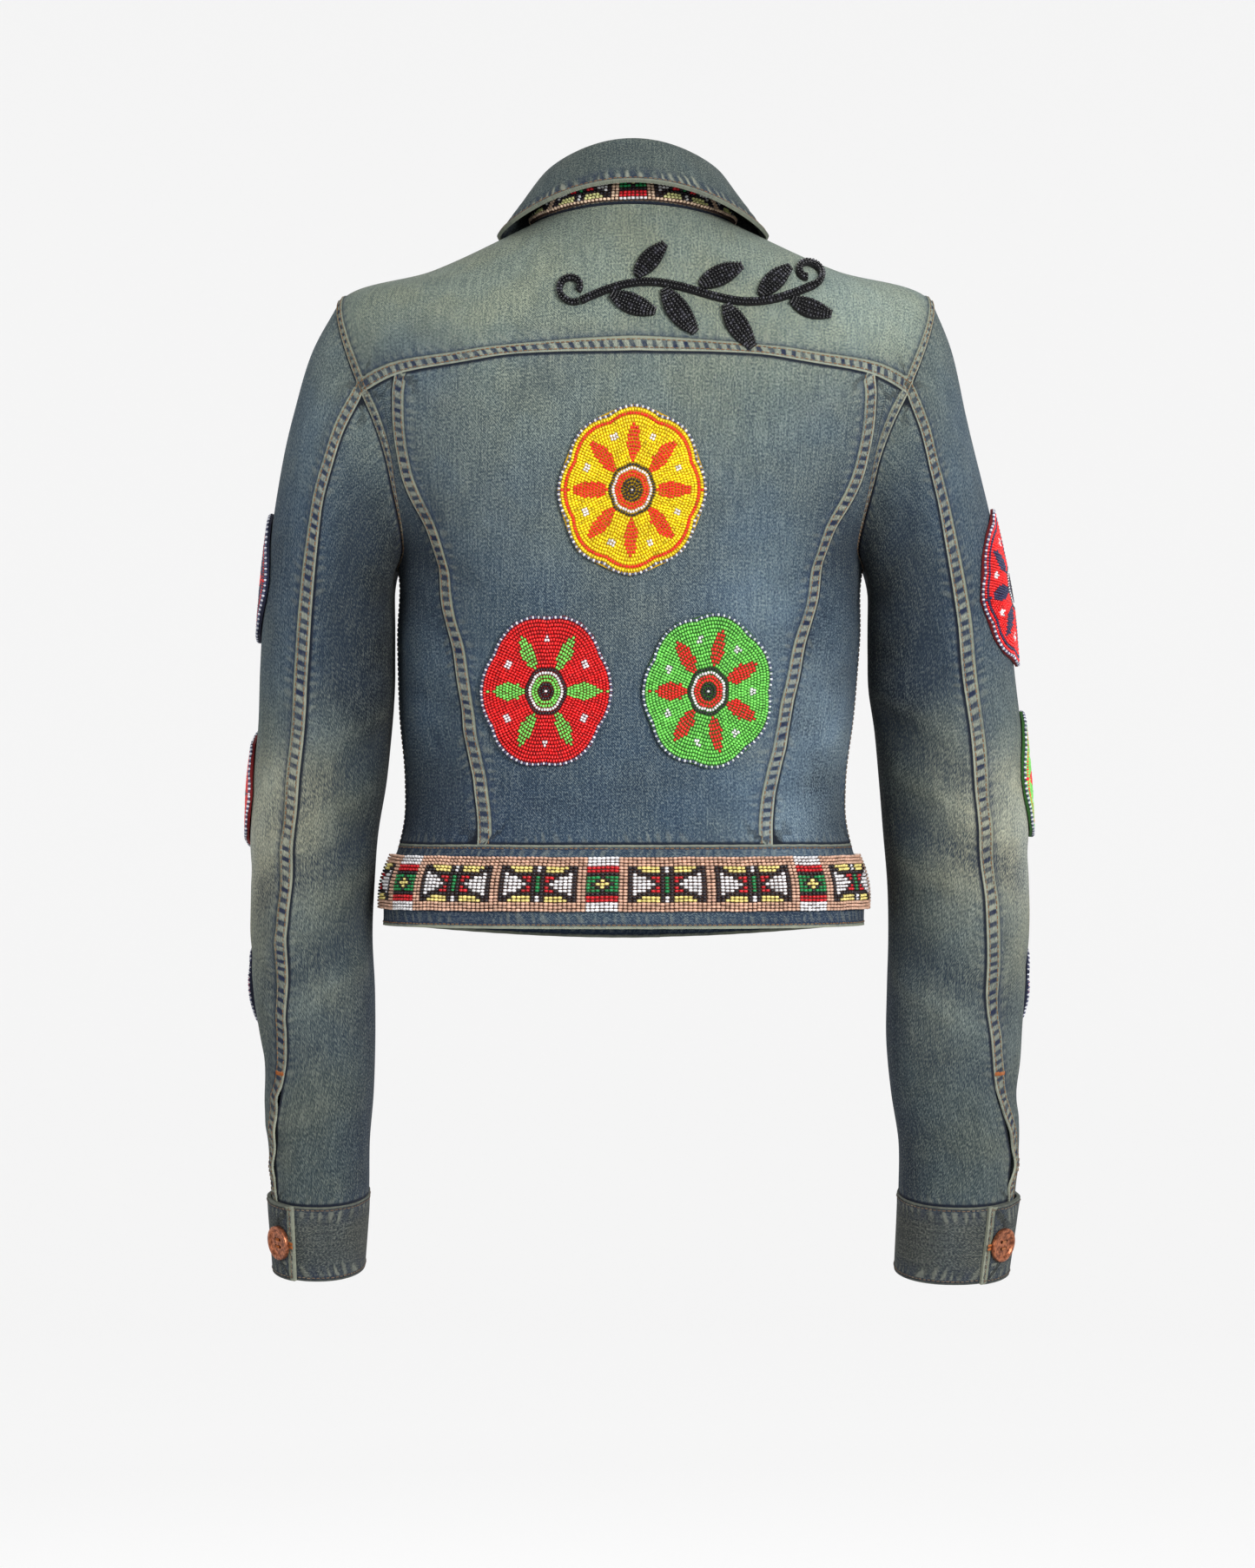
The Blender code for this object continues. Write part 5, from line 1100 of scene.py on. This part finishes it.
def banded(name, points, out, form, pitch, lift, ground, bright=1.0):
    """A bead band over a dense net: a row of beads to each of its rows, at an even pitch, holes upright."""
    length = arc(points[len(points) // 2])
    columns = int(length[-1] / pitch)
    stops = (np.arange(columns) + 0.5) * length[-1] / columns
    place = np.interp(stops, length, np.arange(len(length)))
    low = np.floor(place).astype(int)
    part = (place - low)[None, :, None]
    spots, away = (field[:, low] * (1 - part) + field[:, low + 1] * part for field in (points, out))
    away, up = unit(away), np.gradient(spots, axis=0)
    sway = 0.16 * np.sin(stops / 9.0) + 0.12 * np.sin(stops / 3.7 + 1.0)
    spots = spots + unit(up) * sway[None, :, None] + away * (lift + REST_GAP + GROUND_THICK + BAND_BEAD_SEAT)
    # A factor above one brightens the inks as painted light, for a band that lies in shade.
    inks = np.minimum(chart(len(points), columns) * bright, 0.9)
    strung(name, form, *(field.reshape(-1, 3) for field in (spots, up, away, inks)), "beads_tan", GLASS)
    dress(BAND_GROUND, ground)


steps = np.linspace(BAND_FIRST + 3, BAND_LAST - 4, 900)
levels = np.linspace(10.5, 44.0, BAND_ROWS + 1)
levels = (0.5 * (levels[1:] + levels[:-1]))[:, None]
points, out, _ = body(steps[None] * (2.0 * math.pi / BAND_STEPS), levels)
# Seen from behind the block nearest the middle sits a little to the wearer's left, so the chart starts there.
banded("waist_beads", points[:, ::-1], out[:, ::-1], bead_form(2.7, 1.88, 8), BAND_COLUMN, BAND_RISE,
       "waist_bead_band")

# Neck bead band: a narrower strip in the same pattern, of smaller beads and thirteen rows high, sewn to the
# collar stand under the leaf and ending short of its front. Its inks are made paler as painted light, against
# the shade that the leaf casts on it.
NECK_TRIM = 54
points, out = collar_net(STAND_RINGS, (STAND_FRONT, STAND_FRONT), NECK_ROWS + 1, 700, share=(0.06, 0.86))
points, out = 0.5 * (points[1:] + points[:-1]), unit(out[1:] + out[:-1])
points, out = (field[:, NECK_TRIM:-NECK_TRIM][:, ::-1] for field in (points, out))
banded("neck_beads", points, out, bead_form(2.2, 1.9, 7), NECK_COLUMN, 0.0, "neck_bead_band", bright=1.6)

# Back rosettes: three scalloped rounds of small beads, sewn ring by ring from the middle outwards on a stiff
# ground, edged with a row of white and steely blue beads. Slim petals and dots ring the middle.
SMALL_BEAD = bead_form(1.96, 1.66, 6)
YOLK, LEAF, SCARLET = linear(255, 229, 10), linear(124, 224, 96), linear(246, 22, 26)
NIGHT, STEEL_BLUE, PEARL = linear(40, 46, 86), linear(66, 72, 108), linear(214, 216, 226)
ROSETTE_SCALLOP, RING_PITCH, ROSETTE_PITCH = 0.06, 1.95, 1.74
# Where a petal starts and how long it is, as shares of the way out, and its half width; the same for its dot.
PETAL_FOOT, PETAL_SHARE, PETAL_HALF, DOT_PLACE, DOT_RADIUS = 0.31, 0.49, 4.6, 0.70, 2.5
# How far a ground lies off the body and off an arm, and how far above its face a small bead's middle lies.
BACK_LOW, ARM_LOW, SMALL_BEAD_SEAT, LOOK_AHEAD = 0.65, 0.95, 0.3, 0.8
BACK_ROSETTES = (
    ("rosette_yellow", 0.0, 272.0, 46.0, 53.0, 8, YOLK, SCARLET),
    ("rosette_red", 50.0, 148.0, 41.0, 49.0, 6, SCARLET, LEAF),
    ("rosette_green", -50.0, 148.0, 41.0, 49.0, 7, LEAF, SCARLET),
)
PATCHES = {ink: ("beads_" + word, felt(word + " ground", linear(*colour))) for ink, word, colour in (
    (YOLK, "yellow", (186, 146, 10)), (SCARLET, "red", (112, 12, 16)), (LEAF, "green", (44, 92, 34)),
    (NIGHT, "navy", (26, 30, 52)))}


def beaded(node, form, spot_at, flat, ways, low, inks, slot, finish, ground):
    """Beads on a ground of their own, at flat places, each with its hole along the way that its row runs."""
    spots, out, _ = spot_at(flat[:, 0], flat[:, 1])
    ahead, _, _ = spot_at(flat[:, 0] + ways[:, 0] * LOOK_AHEAD, flat[:, 1] + ways[:, 1] * LOOK_AHEAD)
    rise = low + GROUND_THICK + SMALL_BEAD_SEAT
    strung(node + "_beads", form, spots + out * rise, ahead - spots, out, inks, slot, finish)
    dress(ground, node)


def rosette(node, spot_at, half_width, half_height, petals, ground, petal, low):
    """Rings of beads round one middle bead; their colours make a plain flower with slim petals."""
    circles = ((-1.0, 0.03, BEAD_WHITE), (0.03, 0.14, BEAD_BLACK), (0.14, 0.22, petal),
               (0.22, 0.27, BEAD_WHITE), (0.27, 0.31, BEAD_BLACK), (0.88, 0.92, petal))
    rings = round(min(half_width, half_height) / RING_PITCH)
    flat, ways, inks = [], [], []
    dense = np.linspace(0.0, 2.0 * math.pi, 1441)
    reach = 1.0 - ROSETTE_SCALLOP * (1.0 - np.abs(np.cos(0.5 * petals * dense)))
    edge = np.stack((half_width * reach * np.cos(dense), half_height * reach * np.sin(dense)), axis=-1)
    for ring in range(rings):
        share = ring / (rings - 0.5)
        length = arc(share * edge)
        count = max(1, round(length[-1] / ROSETTE_PITCH))
        stops = (np.arange(count) + 0.5 * (ring % 2)) * length[-1] / count
        turn = np.interp(stops, length, dense) if ring else np.zeros(1)
        flat.append(share * read_line(edge, dense, turn))
        ways.append(unit(read_line(np.gradient(edge, axis=0), dense, turn)))
        radius = np.hypot(half_width * np.cos(turn), half_height * np.sin(turn))
        beat = petals * turn / (2.0 * math.pi)
        off_petal, off_dot = (
            share * radius * np.abs(np.mod(beat + shift, 1.0) - 0.5) * 2.0 * math.pi / petals
            for shift in (0.5, 0.0))
        swell = math.sin(math.pi * min(1.0, max(0.0, (share - PETAL_FOOT) / PETAL_SHARE))) ** 0.7
        ink = np.tile(ground, (count, 1))
        ink[off_petal < PETAL_HALF * swell] = petal
        ink[np.hypot(off_dot, (share - DOT_PLACE) * radius) < DOT_RADIUS] = BEAD_WHITE
        for foot, top, colour in circles:
            if foot < share <= top:
                ink[:] = colour
        if ring == rings - 1:
            ink[:] = STEEL_BLUE
            ink[::2] = PEARL
        inks.append(ink)
    flat, ways, inks = (np.concatenate(parts) for parts in (flat, ways, inks))
    slot, backing = PATCHES[ground]
    beaded(node, SMALL_BEAD, spot_at, flat, ways, low, inks, slot, GLASS, backing)


def on_back(middle, across, up):
    """The body at a place given from a spot on the back."""
    place = back_place(middle[0] + across, middle[1] + up)
    return body(place[..., 0], place[..., 1])


for node, x, z, *shape in BACK_ROSETTES:
    rosette(node, lambda dx, dz: on_back((x, z), dx, dz), *shape, BACK_LOW)

# Sleeve rosettes: two large rounds and a small one down the outside of each arm, beaded in the same way.
SLEEVE_ROSETTES = (
    ("sleeve_rosette_left_1", 1, -19.0, 164.0, 42.0, 42.0, 6, NIGHT, SCARLET),
    ("sleeve_rosette_left_2", 1, -24.0, 296.0, 42.0, 40.0, 8, SCARLET, NIGHT),
    ("sleeve_rosette_left_3", 1, -34.0, 430.0, 27.0, 30.0, 5, NIGHT, SCARLET),
    ("sleeve_rosette_right_1", -1, 10.0, 170.0, 42.0, 48.0, 8, SCARLET, NIGHT),
    ("sleeve_rosette_right_2", -1, -18.0, 286.0, 42.0, 44.0, 6, LEAF, SCARLET),
    ("sleeve_rosette_right_3", -1, -34.0, 428.0, 27.0, 30.0, 5, NIGHT, SCARLET),
)
for node, side, turn, down, *shape in SLEEVE_ROSETTES:
    rosette(node, lambda dx, dz: sleeve(side, np.radians(turn + dx / ARC), down - dz), *shape, ARM_LOW)

# Yoke spray: a waving stem with slim leaves and a curl at each end, couched in lanes of jet black beads.
STEM_ENDS = np.array(((34.0, 390.0), (-112.0, 402.0)))
STEM_WAVE, STEM_HALF, LANE_PITCH, JET_PITCH = 9.0, 2.4, 2.35, 1.95
# Each leaf: its place along the stem, its side, length, half width and lean from the stem.
SPRAY_LEAVES = (
    (0.10, 1, 27.0, 6.0, 50.0), (0.22, -1, 25.0, 5.6, 48.0), (0.34, 1, 31.0, 6.6, 54.0),
    (0.48, -1, 27.0, 6.0, 50.0), (0.60, 1, 29.0, 6.2, 52.0), (0.74, -1, 25.0, 5.6, 46.0),
    (0.86, 1, 24.0, 5.4, 44.0),
)
LEAF_BEND, LEAF_CLEAR, LEAF_END_HALF = 0.16, 1.3, 0.7
CURL_RADII, CURL_TURN, CURL_HALF = (10.0, 4.2), math.radians(330.0), 2.0
JET, JET_GLASS = bead_form(2.15, 1.8, 6), glass("jet glass", 0.0, 0.10)
JET_GROUND = felt("black ground", linear(9, 9, 12))


def lanes(line, half_widths):
    """Bead spots in lanes along a ribbon of the yoke, as flat places and the way that each lane runs."""
    count = max(2, round(2.0 * float(np.max(half_widths)) / LANE_PITCH))
    beside = unit(np.gradient(line, axis=0))
    beside = np.stack((-beside[:, 1], beside[:, 0]), axis=-1)
    spots, ways = [], []
    for lane in range(count):
        share = (2.0 * lane + 1.0) / count - 1.0
        path = line + beside * (half_widths * share)[:, None]
        length = arc(path)
        beads = int(length[-1] / JET_PITCH)
        stops = (np.arange(beads) + 0.5) * length[-1] / beads
        spots.append(read_line(path, length, stops))
        ways.append(read_line(np.gradient(path, axis=0), length, stops))
    return np.concatenate(spots), unit(np.concatenate(ways))


def stem_point(share):
    """A place on the spray's stem."""
    share = np.asarray(share, float)[..., None]
    wave = STEM_WAVE * np.sin(2.0 * math.pi * share)
    return STEM_ENDS[0] + (STEM_ENDS[1] - STEM_ENDS[0]) * share + wave * np.array((0.0, 1.0))


ribbons = [("spray_stem", stem_point(np.linspace(0.0, 1.0, 160)), np.full(160, STEM_HALF))]
for number, (place, way, length, half_width, lean) in enumerate(SPRAY_LEAVES, start=1):
    root = stem_point(place)
    run = unit(stem_point(place + 0.02) - root)
    beside = way * np.array((-run[1], run[0]))
    lean = math.radians(lean)
    aim = unit(run * math.cos(lean) + beside * math.sin(lean))
    step = np.linspace(0.0, 1.0, 60)[:, None]
    foot = root + aim * ((STEM_HALF + LEAF_CLEAR) / math.sin(lean))
    line = foot + aim * (length * step) + run * (LEAF_BEND * length) * step**2
    widths = LEAF_END_HALF + half_width * np.sin(math.pi * (0.04 + 0.92 * step[:, 0])) ** 0.8
    ribbons.append((f"spray_leaf_{number}", line, widths))
for name, end, way in (("left", 0, 1.0), ("right", 1, -1.0)):
    root = stem_point(float(end))
    run = unit(root - stem_point(abs(end - 0.02)))
    beside = np.array((-run[1], run[0])) * way
    turn = np.linspace(0.0, CURL_TURN, 120)[:, None]
    radius = CURL_RADII[0] + (CURL_RADII[1] - CURL_RADII[0]) * turn / CURL_TURN
    line = root + run * 0.8 + beside * CURL_RADII[0] + radius * (np.sin(turn) * run - np.cos(turn) * beside)
    ribbons.append(("spray_curl_" + name, line, np.full(120, CURL_HALF)))
for node, line, half_widths in ribbons:
    flat, ways = lanes(line, half_widths)
    # About a quarter of the jet beads get a paler ink: painted glints that stand in for highlights on the
    # glass.
    painted_glint = rng.random(len(flat))[:, None] < 0.24
    inks = np.where(painted_glint, linear(54, 54, 61), linear(11, 11, 15))
    beaded(node, JET, lambda x, z: on_back((0.0, 0.0), x, z), flat, ways, ARM_LOW, inks, "beads_black",
           JET_GLASS, JET_GROUND)

# Topstitching: rows of brown cotton thread along every felled seam and edge, worn pale in places, with one
# stitch modelled and set at an even pitch along each row.
THREAD_WIDTH, STITCH, STITCH_PITCH, STITCH_RISE, STITCH_WOBBLE = 0.72, 2.5, 3.15, 0.12, 0.09
RUST, TOBACCO, ORANGE = linear(134, 98, 66), linear(112, 92, 74), linear(186, 100, 34)
FELLED, NARROW, EVEN, EDGE = (1.75, 7.5), (1.5, 5.3), (2.0, 6.0), (2.2,)
# Each row of a seam by its distance from the edge.
SEWN = [
    ("centre_back", {"left": FELLED, "right": FELLED}, RUST),
    ("yoke", {"bottom": (2.0, 7.4), "left": NARROW, "right": NARROW}, RUST),
    ("collar_leaf", {"top": (2.6,)}, RUST), ("stand", {"bottom": (2.0,)}, TOBACCO),
    ("waist_band", {"bottom": (2.4,), "top": (2.4,)}, RUST),
]
for word in ("_left", "_right"):
    SEWN += [
        ("button_stand" + word, {"left": EVEN, "right": EVEN}, RUST),
        ("side_back" + word, {"left": NARROW}, TOBACCO), ("front_panel" + word, {"left": NARROW}, TOBACCO),
        ("arm_upper" + word, {"left": FELLED}, RUST),
        ("sleeve_cuff" + word, {"bottom": EDGE, "top": EDGE, "right": EDGE, "left": EDGE}, TOBACCO),
    ]


def cotton():
    """Sewing thread: dyed cotton, paler where it is worn and darker in its fluff."""
    made, tree, skin = new_material("sewing thread")
    ink, place = tree.attribute("ink"), tree.place()
    fluff = place.noise(900.0, 2.0)
    tint = (place.noise(60.0, 2.0).ramp(0.45, 0.75) * 0.5).blend(ink, STRAW)
    (fluff * 0.4).blend(tint, linear(60, 48, 38)).feed(skin["Base Color"])
    skin["Roughness"].default_value = 0.85
    return made


COTTON = cotton()


def edge_path(points, out, edge, inset):
    """The line on a net that runs this far inside one of its edges, and the directions that face out."""
    if edge in ("top", "bottom"):
        points, out = points.transpose(1, 0, 2), out.transpose(1, 0, 2)
    if edge in ("right", "top"):
        points, out = points[:, ::-1], out[:, ::-1]
    length = run_lengths(points, 1)
    path, face = (np.array([read_line(line, row, inset) for line, row in zip(field, length)])
                  for field in (points, out))
    return path, unit(face)


def spaced(path, face):
    """Even stops along a line: their spots, the way the line runs there, and the way it faces."""
    length = arc(path)
    stops = np.arange(1.6, length[-1] - 1.0, STITCH_PITCH)
    spots, ways, faces = (read_line(line, length, stops) for line in (path, np.gradient(path, axis=0), face))
    return spots, unit(ways), unit(faces)


def sew(name, rows, colour, form, lift, wobble):
    """Rows of thread as one piece; a row has its spots, the ways its stitches run and the ways they face."""
    spots, ways, face = (np.concatenate(parts) for parts in zip(*rows))
    inks = np.tile(colour, (len(spots), 1))
    strung(name, form, spots + face * lift, ways, face, inks, None, COTTON, wobble)


THREAD = bead_form(THREAD_WIDTH, STITCH, 4, drum=0.74)
for piece_name, edges, colour in SEWN:
    rows = [spaced(*edge_path(*NETS[piece_name], edge, inset))
            for edge, insets in edges.items() for inset in insets]
    sew(piece_name + "_topstitch", rows, colour, THREAD, STITCH_RISE, STITCH_WOBBLE)

# Bar tacks and buttonholes: close-set turns of orange thread. A tack closes each sleeve's seam above its
# vent; a buttonhole lies under each button, and its end shows beyond the button.
TACK_LENGTH, TACK_PITCH, TACK_LIPS, TACK_BOW = 8.4, 0.62, (-0.35, 0.35), 0.9
HOLE_LIPS, CUFF_HOLE, FRONT_HOLE, CUFF_HOLE_SHIFT, FRONT_HOLE_SHIFT = (-1.15, 1.15), 23.0, 21.0, 2.2, 2.0
CUFF_BUTTON_TURN, CUFF_BUTTON_REACH = math.radians(47.0), 594.0
FINE_WIDTH, FINE_RISE, FINE_WOBBLE = 0.62, 0.1, 0.06
SHORT_THREAD = bead_form(FINE_WIDTH, 2.0, 4, drum=0.74)


def bar_of_thread(middle, along, out, length, lips, bow=0.0):
    """Close turns of thread across a line; lips says how far to each side of it a row of turns lies."""
    stops = np.arange(-length / 2, length / 2 + 0.01, TACK_PITCH)[:, None]
    across = unit(np.cross(out, along))
    rise = out * bow * (1.0 - (2.0 * stops / length) ** 2)
    spots = np.concatenate([middle + along * stops + across * lip + rise for lip in lips])
    count = len(spots)
    return spots, np.tile(across, (count, 1)), np.tile(out, (count, 1))


for side, word in SIDES:
    points, out = NETS["arm_upper_" + word]
    row = int(np.argmin(np.abs(reach_rows - (VENT_TOP - 6.0))))
    inner, face = edge_path(points, out, "left", STRIP - 1.0)
    outer, _ = edge_path(points, out, "left", 1.0)
    middle, along = 0.5 * (inner[row] + outer[row]), unit(inner[row] - outer[row])
    tack = bar_of_thread(middle, along, face[row], TACK_LENGTH, TACK_LIPS, TACK_BOW)
    around = np.array((-0.06, 0.0, 0.06)) + CUFF_BUTTON_TURN
    points, out, _ = sleeve(side, around, np.full(3, CUFF_BUTTON_REACH))
    points = points + out * (CUFF_RISE + TWO_PLY + LAP_GAP)
    along = unit(points[2] - points[0])
    hole = bar_of_thread(points[1] + along * CUFF_HOLE_SHIFT, along, out[1], CUFF_HOLE, HOLE_LIPS)
    sew("sleeve_sewing_" + word, (tack, hole), ORANGE, SHORT_THREAD, FINE_RISE, FINE_WOBBLE)

# Cuff buttons: four-hole copper buttons with a raised rim and a dished middle, sewn on with orange thread.
# The button's radius and thickness, how far its holes lie off its middle and how wide they are, the space
# under it, and how far above that the thread runs.
BUTTON_RADIUS, BUTTON_THICK, HOLE_OFF, HOLE_RADIUS, BUTTON_GAP, THREAD_RISE = 11.0, 2.8, 2.3, 1.15, 0.4, 2.2
UPRIGHT = (math.pi / 2, 0, 0)
bpy.ops.object.select_all(action="DESELECT")
bpy.ops.mesh.primitive_cylinder_add(vertices=48, radius=BUTTON_RADIUS, depth=BUTTON_THICK,
                                    end_fill_type="NGON", rotation=UPRIGHT)
button = bpy.context.object
bpy.ops.object.transform_apply(rotation=True)
bpy.ops.object.mode_set(mode="EDIT")
bpy.ops.mesh.select_mode(type="FACE")
bpy.ops.mesh.select_all(action="DESELECT")
bpy.ops.object.mode_set(mode="OBJECT")
for face in button.data.polygons:
    face.select = face.normal.y > 0.9
bpy.ops.object.mode_set(mode="EDIT")
for thickness, depth in ((0.9, 0.0), (1.3, 0.0), (0.9, -0.95), (2.2, 0.0)):
    bpy.ops.mesh.inset(thickness=thickness, depth=depth)
bpy.ops.object.mode_set(mode="OBJECT")
rim = button.modifiers.new("rim", "BEVEL")
rim.width, rim.segments, rim.limit_method, rim.angle_limit = 0.45, 2, "ANGLE", math.radians(50.0)
select_only(button)
bpy.ops.object.modifier_apply(modifier=rim.name)
for x, z in ((-HOLE_OFF, -HOLE_OFF), (-HOLE_OFF, HOLE_OFF), (HOLE_OFF, -HOLE_OFF), (HOLE_OFF, HOLE_OFF)):
    bpy.ops.mesh.primitive_cylinder_add(vertices=14, radius=HOLE_RADIUS, depth=6.0, location=(x, 0, z),
                                        rotation=UPRIGHT)
    drill = bpy.context.object
    cut = button.modifiers.new("hole", "BOOLEAN")
    cut.operation, cut.object, cut.solver = "DIFFERENCE", drill, "EXACT"
    select_only(button)
    bpy.ops.object.modifier_apply(modifier=cut.name)
    bpy.data.objects.remove(drill, do_unlink=True)
CUFF_BUTTON = taken(button)


def metal(name, bright, dark, rough):
    """Worn plated metal: bright where it is rubbed, dulled and darker in between."""
    made, tree, skin = new_material(name)
    wear = tree.place().noise(420.0, 4.0, 0.65)
    wear.ramp(0.36, 0.66).blend(dark, bright).feed(skin["Base Color"])
    (rough + 0.22 - wear * 0.3).feed(skin["Roughness"])
    skin["Metallic"].default_value = 0.85
    wear.emboss(skin, 0.25, 0.0003)
    return made


def set_button(node, form, slot, finish, spot, along, out):
    """A button on its spot, in the place of the CAD one."""
    piece = strung(node + "_metal", form, spot[None], along[None], out[None], np.ones((1, 3)), slot, finish,
                   wobble=0.0, spread=0.0)
    select_only(piece)
    bpy.ops.object.shade_smooth_by_angle(angle=math.radians(38.0))
    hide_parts(node)


COPPER = metal("worn copper", linear(196, 122, 86), linear(112, 66, 48), 0.34)
for side, word in SIDES:
    around = np.array((-0.05, 0.0, 0.05)) + CUFF_BUTTON_TURN
    points, out, _ = sleeve(side, around, np.full(3, CUFF_BUTTON_REACH))
    lift = CUFF_RISE + TWO_PLY + LAP_GAP + BUTTON_GAP
    along = unit(points[2] - points[0])
    spot = points[1] + out[1] * (lift + BUTTON_THICK / 2)
    set_button("cuff_button_" + word, CUFF_BUTTON, "copper", COPPER, spot, along, out[1])
    across = unit(np.cross(out[1], along))
    top = points[1] + out[1] * (lift + THREAD_RISE)
    turns = [([top + across * (lane + shift)], [along], out[1:2])
             for lane in (-HOLE_OFF, HOLE_OFF) for shift in (-0.5, 0.0, 0.5)]
    thread = bead_form(FINE_WIDTH, 2.0 * HOLE_OFF, 5, drum=0.8)
    sew("cuff_button_thread_" + word, turns, ORANGE, thread, 0.0, 0.05)

# Front buttons: stamped metal tack buttons, a domed rim round a sunk ring and a low boss, down the button
# stand and on the waistband, each with a buttonhole across the lap.
FRONT_LEVELS, FRONT_SEAT = (27.0, 84.0, 165.0, 246.0, 330.0, 432.0), 1.75
# Half of the button's section, from the middle of its face round the rim to the middle of its back.
PROFILE = ((0.0, 1.0), (1.6, 0.95), (2.6, 0.55), (3.4, 0.25), (5.0, 0.35), (5.7, 0.9), (6.6, 1.55),
           (7.5, 1.6), (8.2, 1.2), (8.5, 0.4), (8.3, -0.6), (6.6, -1.2), (4.2, -1.6), (0.0, -1.65))
mesh = bpy.data.meshes.new("profile")
mesh.from_pydata([(*corner, 0.0) for corner in PROFILE], [(k, k + 1) for k in range(len(PROFILE) - 1)], [])
button = bpy.data.objects.new("profile", mesh)
bpy.context.collection.objects.link(button)
select_only(button)
turned = button.modifiers.new("turned", "SCREW")
turned.axis, turned.steps, turned.use_merge_vertices, turned.use_normal_calculate = "Y", 36, True, True
bpy.ops.object.modifier_apply(modifier=turned.name)
bpy.ops.object.mode_set(mode="EDIT")
bpy.ops.mesh.select_all(action="SELECT")
bpy.ops.mesh.remove_doubles(threshold=0.01)
bpy.ops.mesh.normals_make_consistent(inside=False)
bpy.ops.object.mode_set(mode="OBJECT")
FRONT_BUTTON = taken(button)
STEEL = metal("dull steel", linear(150, 144, 132), linear(74, 70, 66), 0.40)
holes = []
for number, level in enumerate(FRONT_LEVELS, start=1):
    points, out, _ = body(np.array((-0.02, 0.0, 0.02)) - math.pi / 2, level)
    lift = BAND_RISE + TWO_PLY + LAP_GAP if number == 1 else DENIM + LAP_GAP
    along = unit(points[2] - points[0])
    spot = points[1] + out[1] * (lift + BUTTON_GAP + FRONT_SEAT)
    set_button(f"front_button_{number}", FRONT_BUTTON, "dull_steel", STEEL, spot, along, out[1])
    middle = points[1] + out[1] * lift + along * FRONT_HOLE_SHIFT
    holes.append(bar_of_thread(middle, along, out[1], FRONT_HOLE, HOLE_LIPS))
sew("front_buttonholes", holes, RUST, SHORT_THREAD, FINE_RISE, FINE_WOBBLE)

# The room: a pale floor that sweeps up all round, large soft lamps, and the camera at the photo's height.
ROOM_RADIUS, FLOOR_LEVEL, ROOM_PALE, ROOM_DIM = 5.0, -1.45, (0.69, 0.69, 0.69), (0.14, 0.14, 0.14)
bpy.ops.object.select_all(action="DESELECT")
bpy.ops.mesh.primitive_circle_add(vertices=96, radius=ROOM_RADIUS, fill_type="NGON",
                                  location=(0, 0, FLOOR_LEVEL))
room = bpy.context.object
room.name = "floor"
bpy.ops.object.transform_apply(location=True)
bpy.ops.object.mode_set(mode="EDIT")
bpy.ops.mesh.select_all(action="SELECT")
for rise, grow in ((0.10, 1.10), (0.32, 1.08), (0.65, 1.06), (1.1, 1.04), (1.6, 1.02), (3.2, 1.0)):
    bpy.ops.mesh.extrude_region_move(TRANSFORM_OT_translate={"value": (0, 0, rise)})
    bpy.ops.transform.resize(value=(grow, grow, 1.0))
bpy.ops.mesh.delete(type="ONLY_FACE")
bpy.ops.mesh.select_all(action="SELECT")
bpy.ops.mesh.normals_make_consistent(inside=True)
bpy.ops.object.mode_set(mode="OBJECT")
bpy.ops.object.shade_smooth()
paint, tree, skin = new_material("pale paint")
skin["Base Color"].default_value = (0.30, 0.30, 0.30, 1.0)
skin["Roughness"].default_value = 0.95
depth = tree.place().parts()[1]
depth.ramp(-1.5, 2.0).blend(ROOM_PALE, ROOM_DIM).feed(skin["Emission Color"])
skin["Emission Strength"].default_value = 1.0
room.data.materials.append(paint)

bpy.context.scene.view_settings.view_transform = "Standard"
world = bpy.context.scene.world or bpy.data.worlds.new("studio")
bpy.context.scene.world = world
world.use_nodes = True
world.node_tree.nodes["Background"].inputs[0].default_value = (1.0, 1.0, 1.0, 1.0)
world.node_tree.nodes["Background"].inputs[1].default_value = 0.25
for name, place, aim, size, power in (
    ("key lamp", (-1.6, 3.2, 0.45), (0.0, 0.0, -0.25), 1.5, 128.0),
    ("side lamp", (2.4, 2.4, 0.3), (0.0, 0.0, -0.3), 1.5, 22.0),
    ("top lamp", (0.0, 0.5, 2.6), (0.0, 0.0, -0.3), 2.0, 24.0),
    ("front lamp", (0.4, -3.2, 1.2), (0.0, 0.0, -0.3), 2.0, 30.0),
):
    bpy.ops.object.light_add(type="AREA", location=place)
    lamp = bpy.context.object
    lamp.name = name
    lamp.data.shape, lamp.data.size, lamp.data.energy = "DISK", size, power
    way = np.array(aim) - np.array(place)
    tilt, swing = math.acos(-way[2] / np.linalg.norm(way)), math.atan2(way[1], way[0])
    lamp.rotation_euler = (tilt, 0.0, swing - math.pi / 2)

bpy.ops.object.camera_add(location=(0.0025, 3.0, -0.357), rotation=(math.pi / 2, 0.0, math.pi))
camera = bpy.context.object
camera.data.lens, camera.data.sensor_width, camera.data.sensor_fit = 107.4, 36.0, "AUTO"
bpy.context.scene.camera = camera
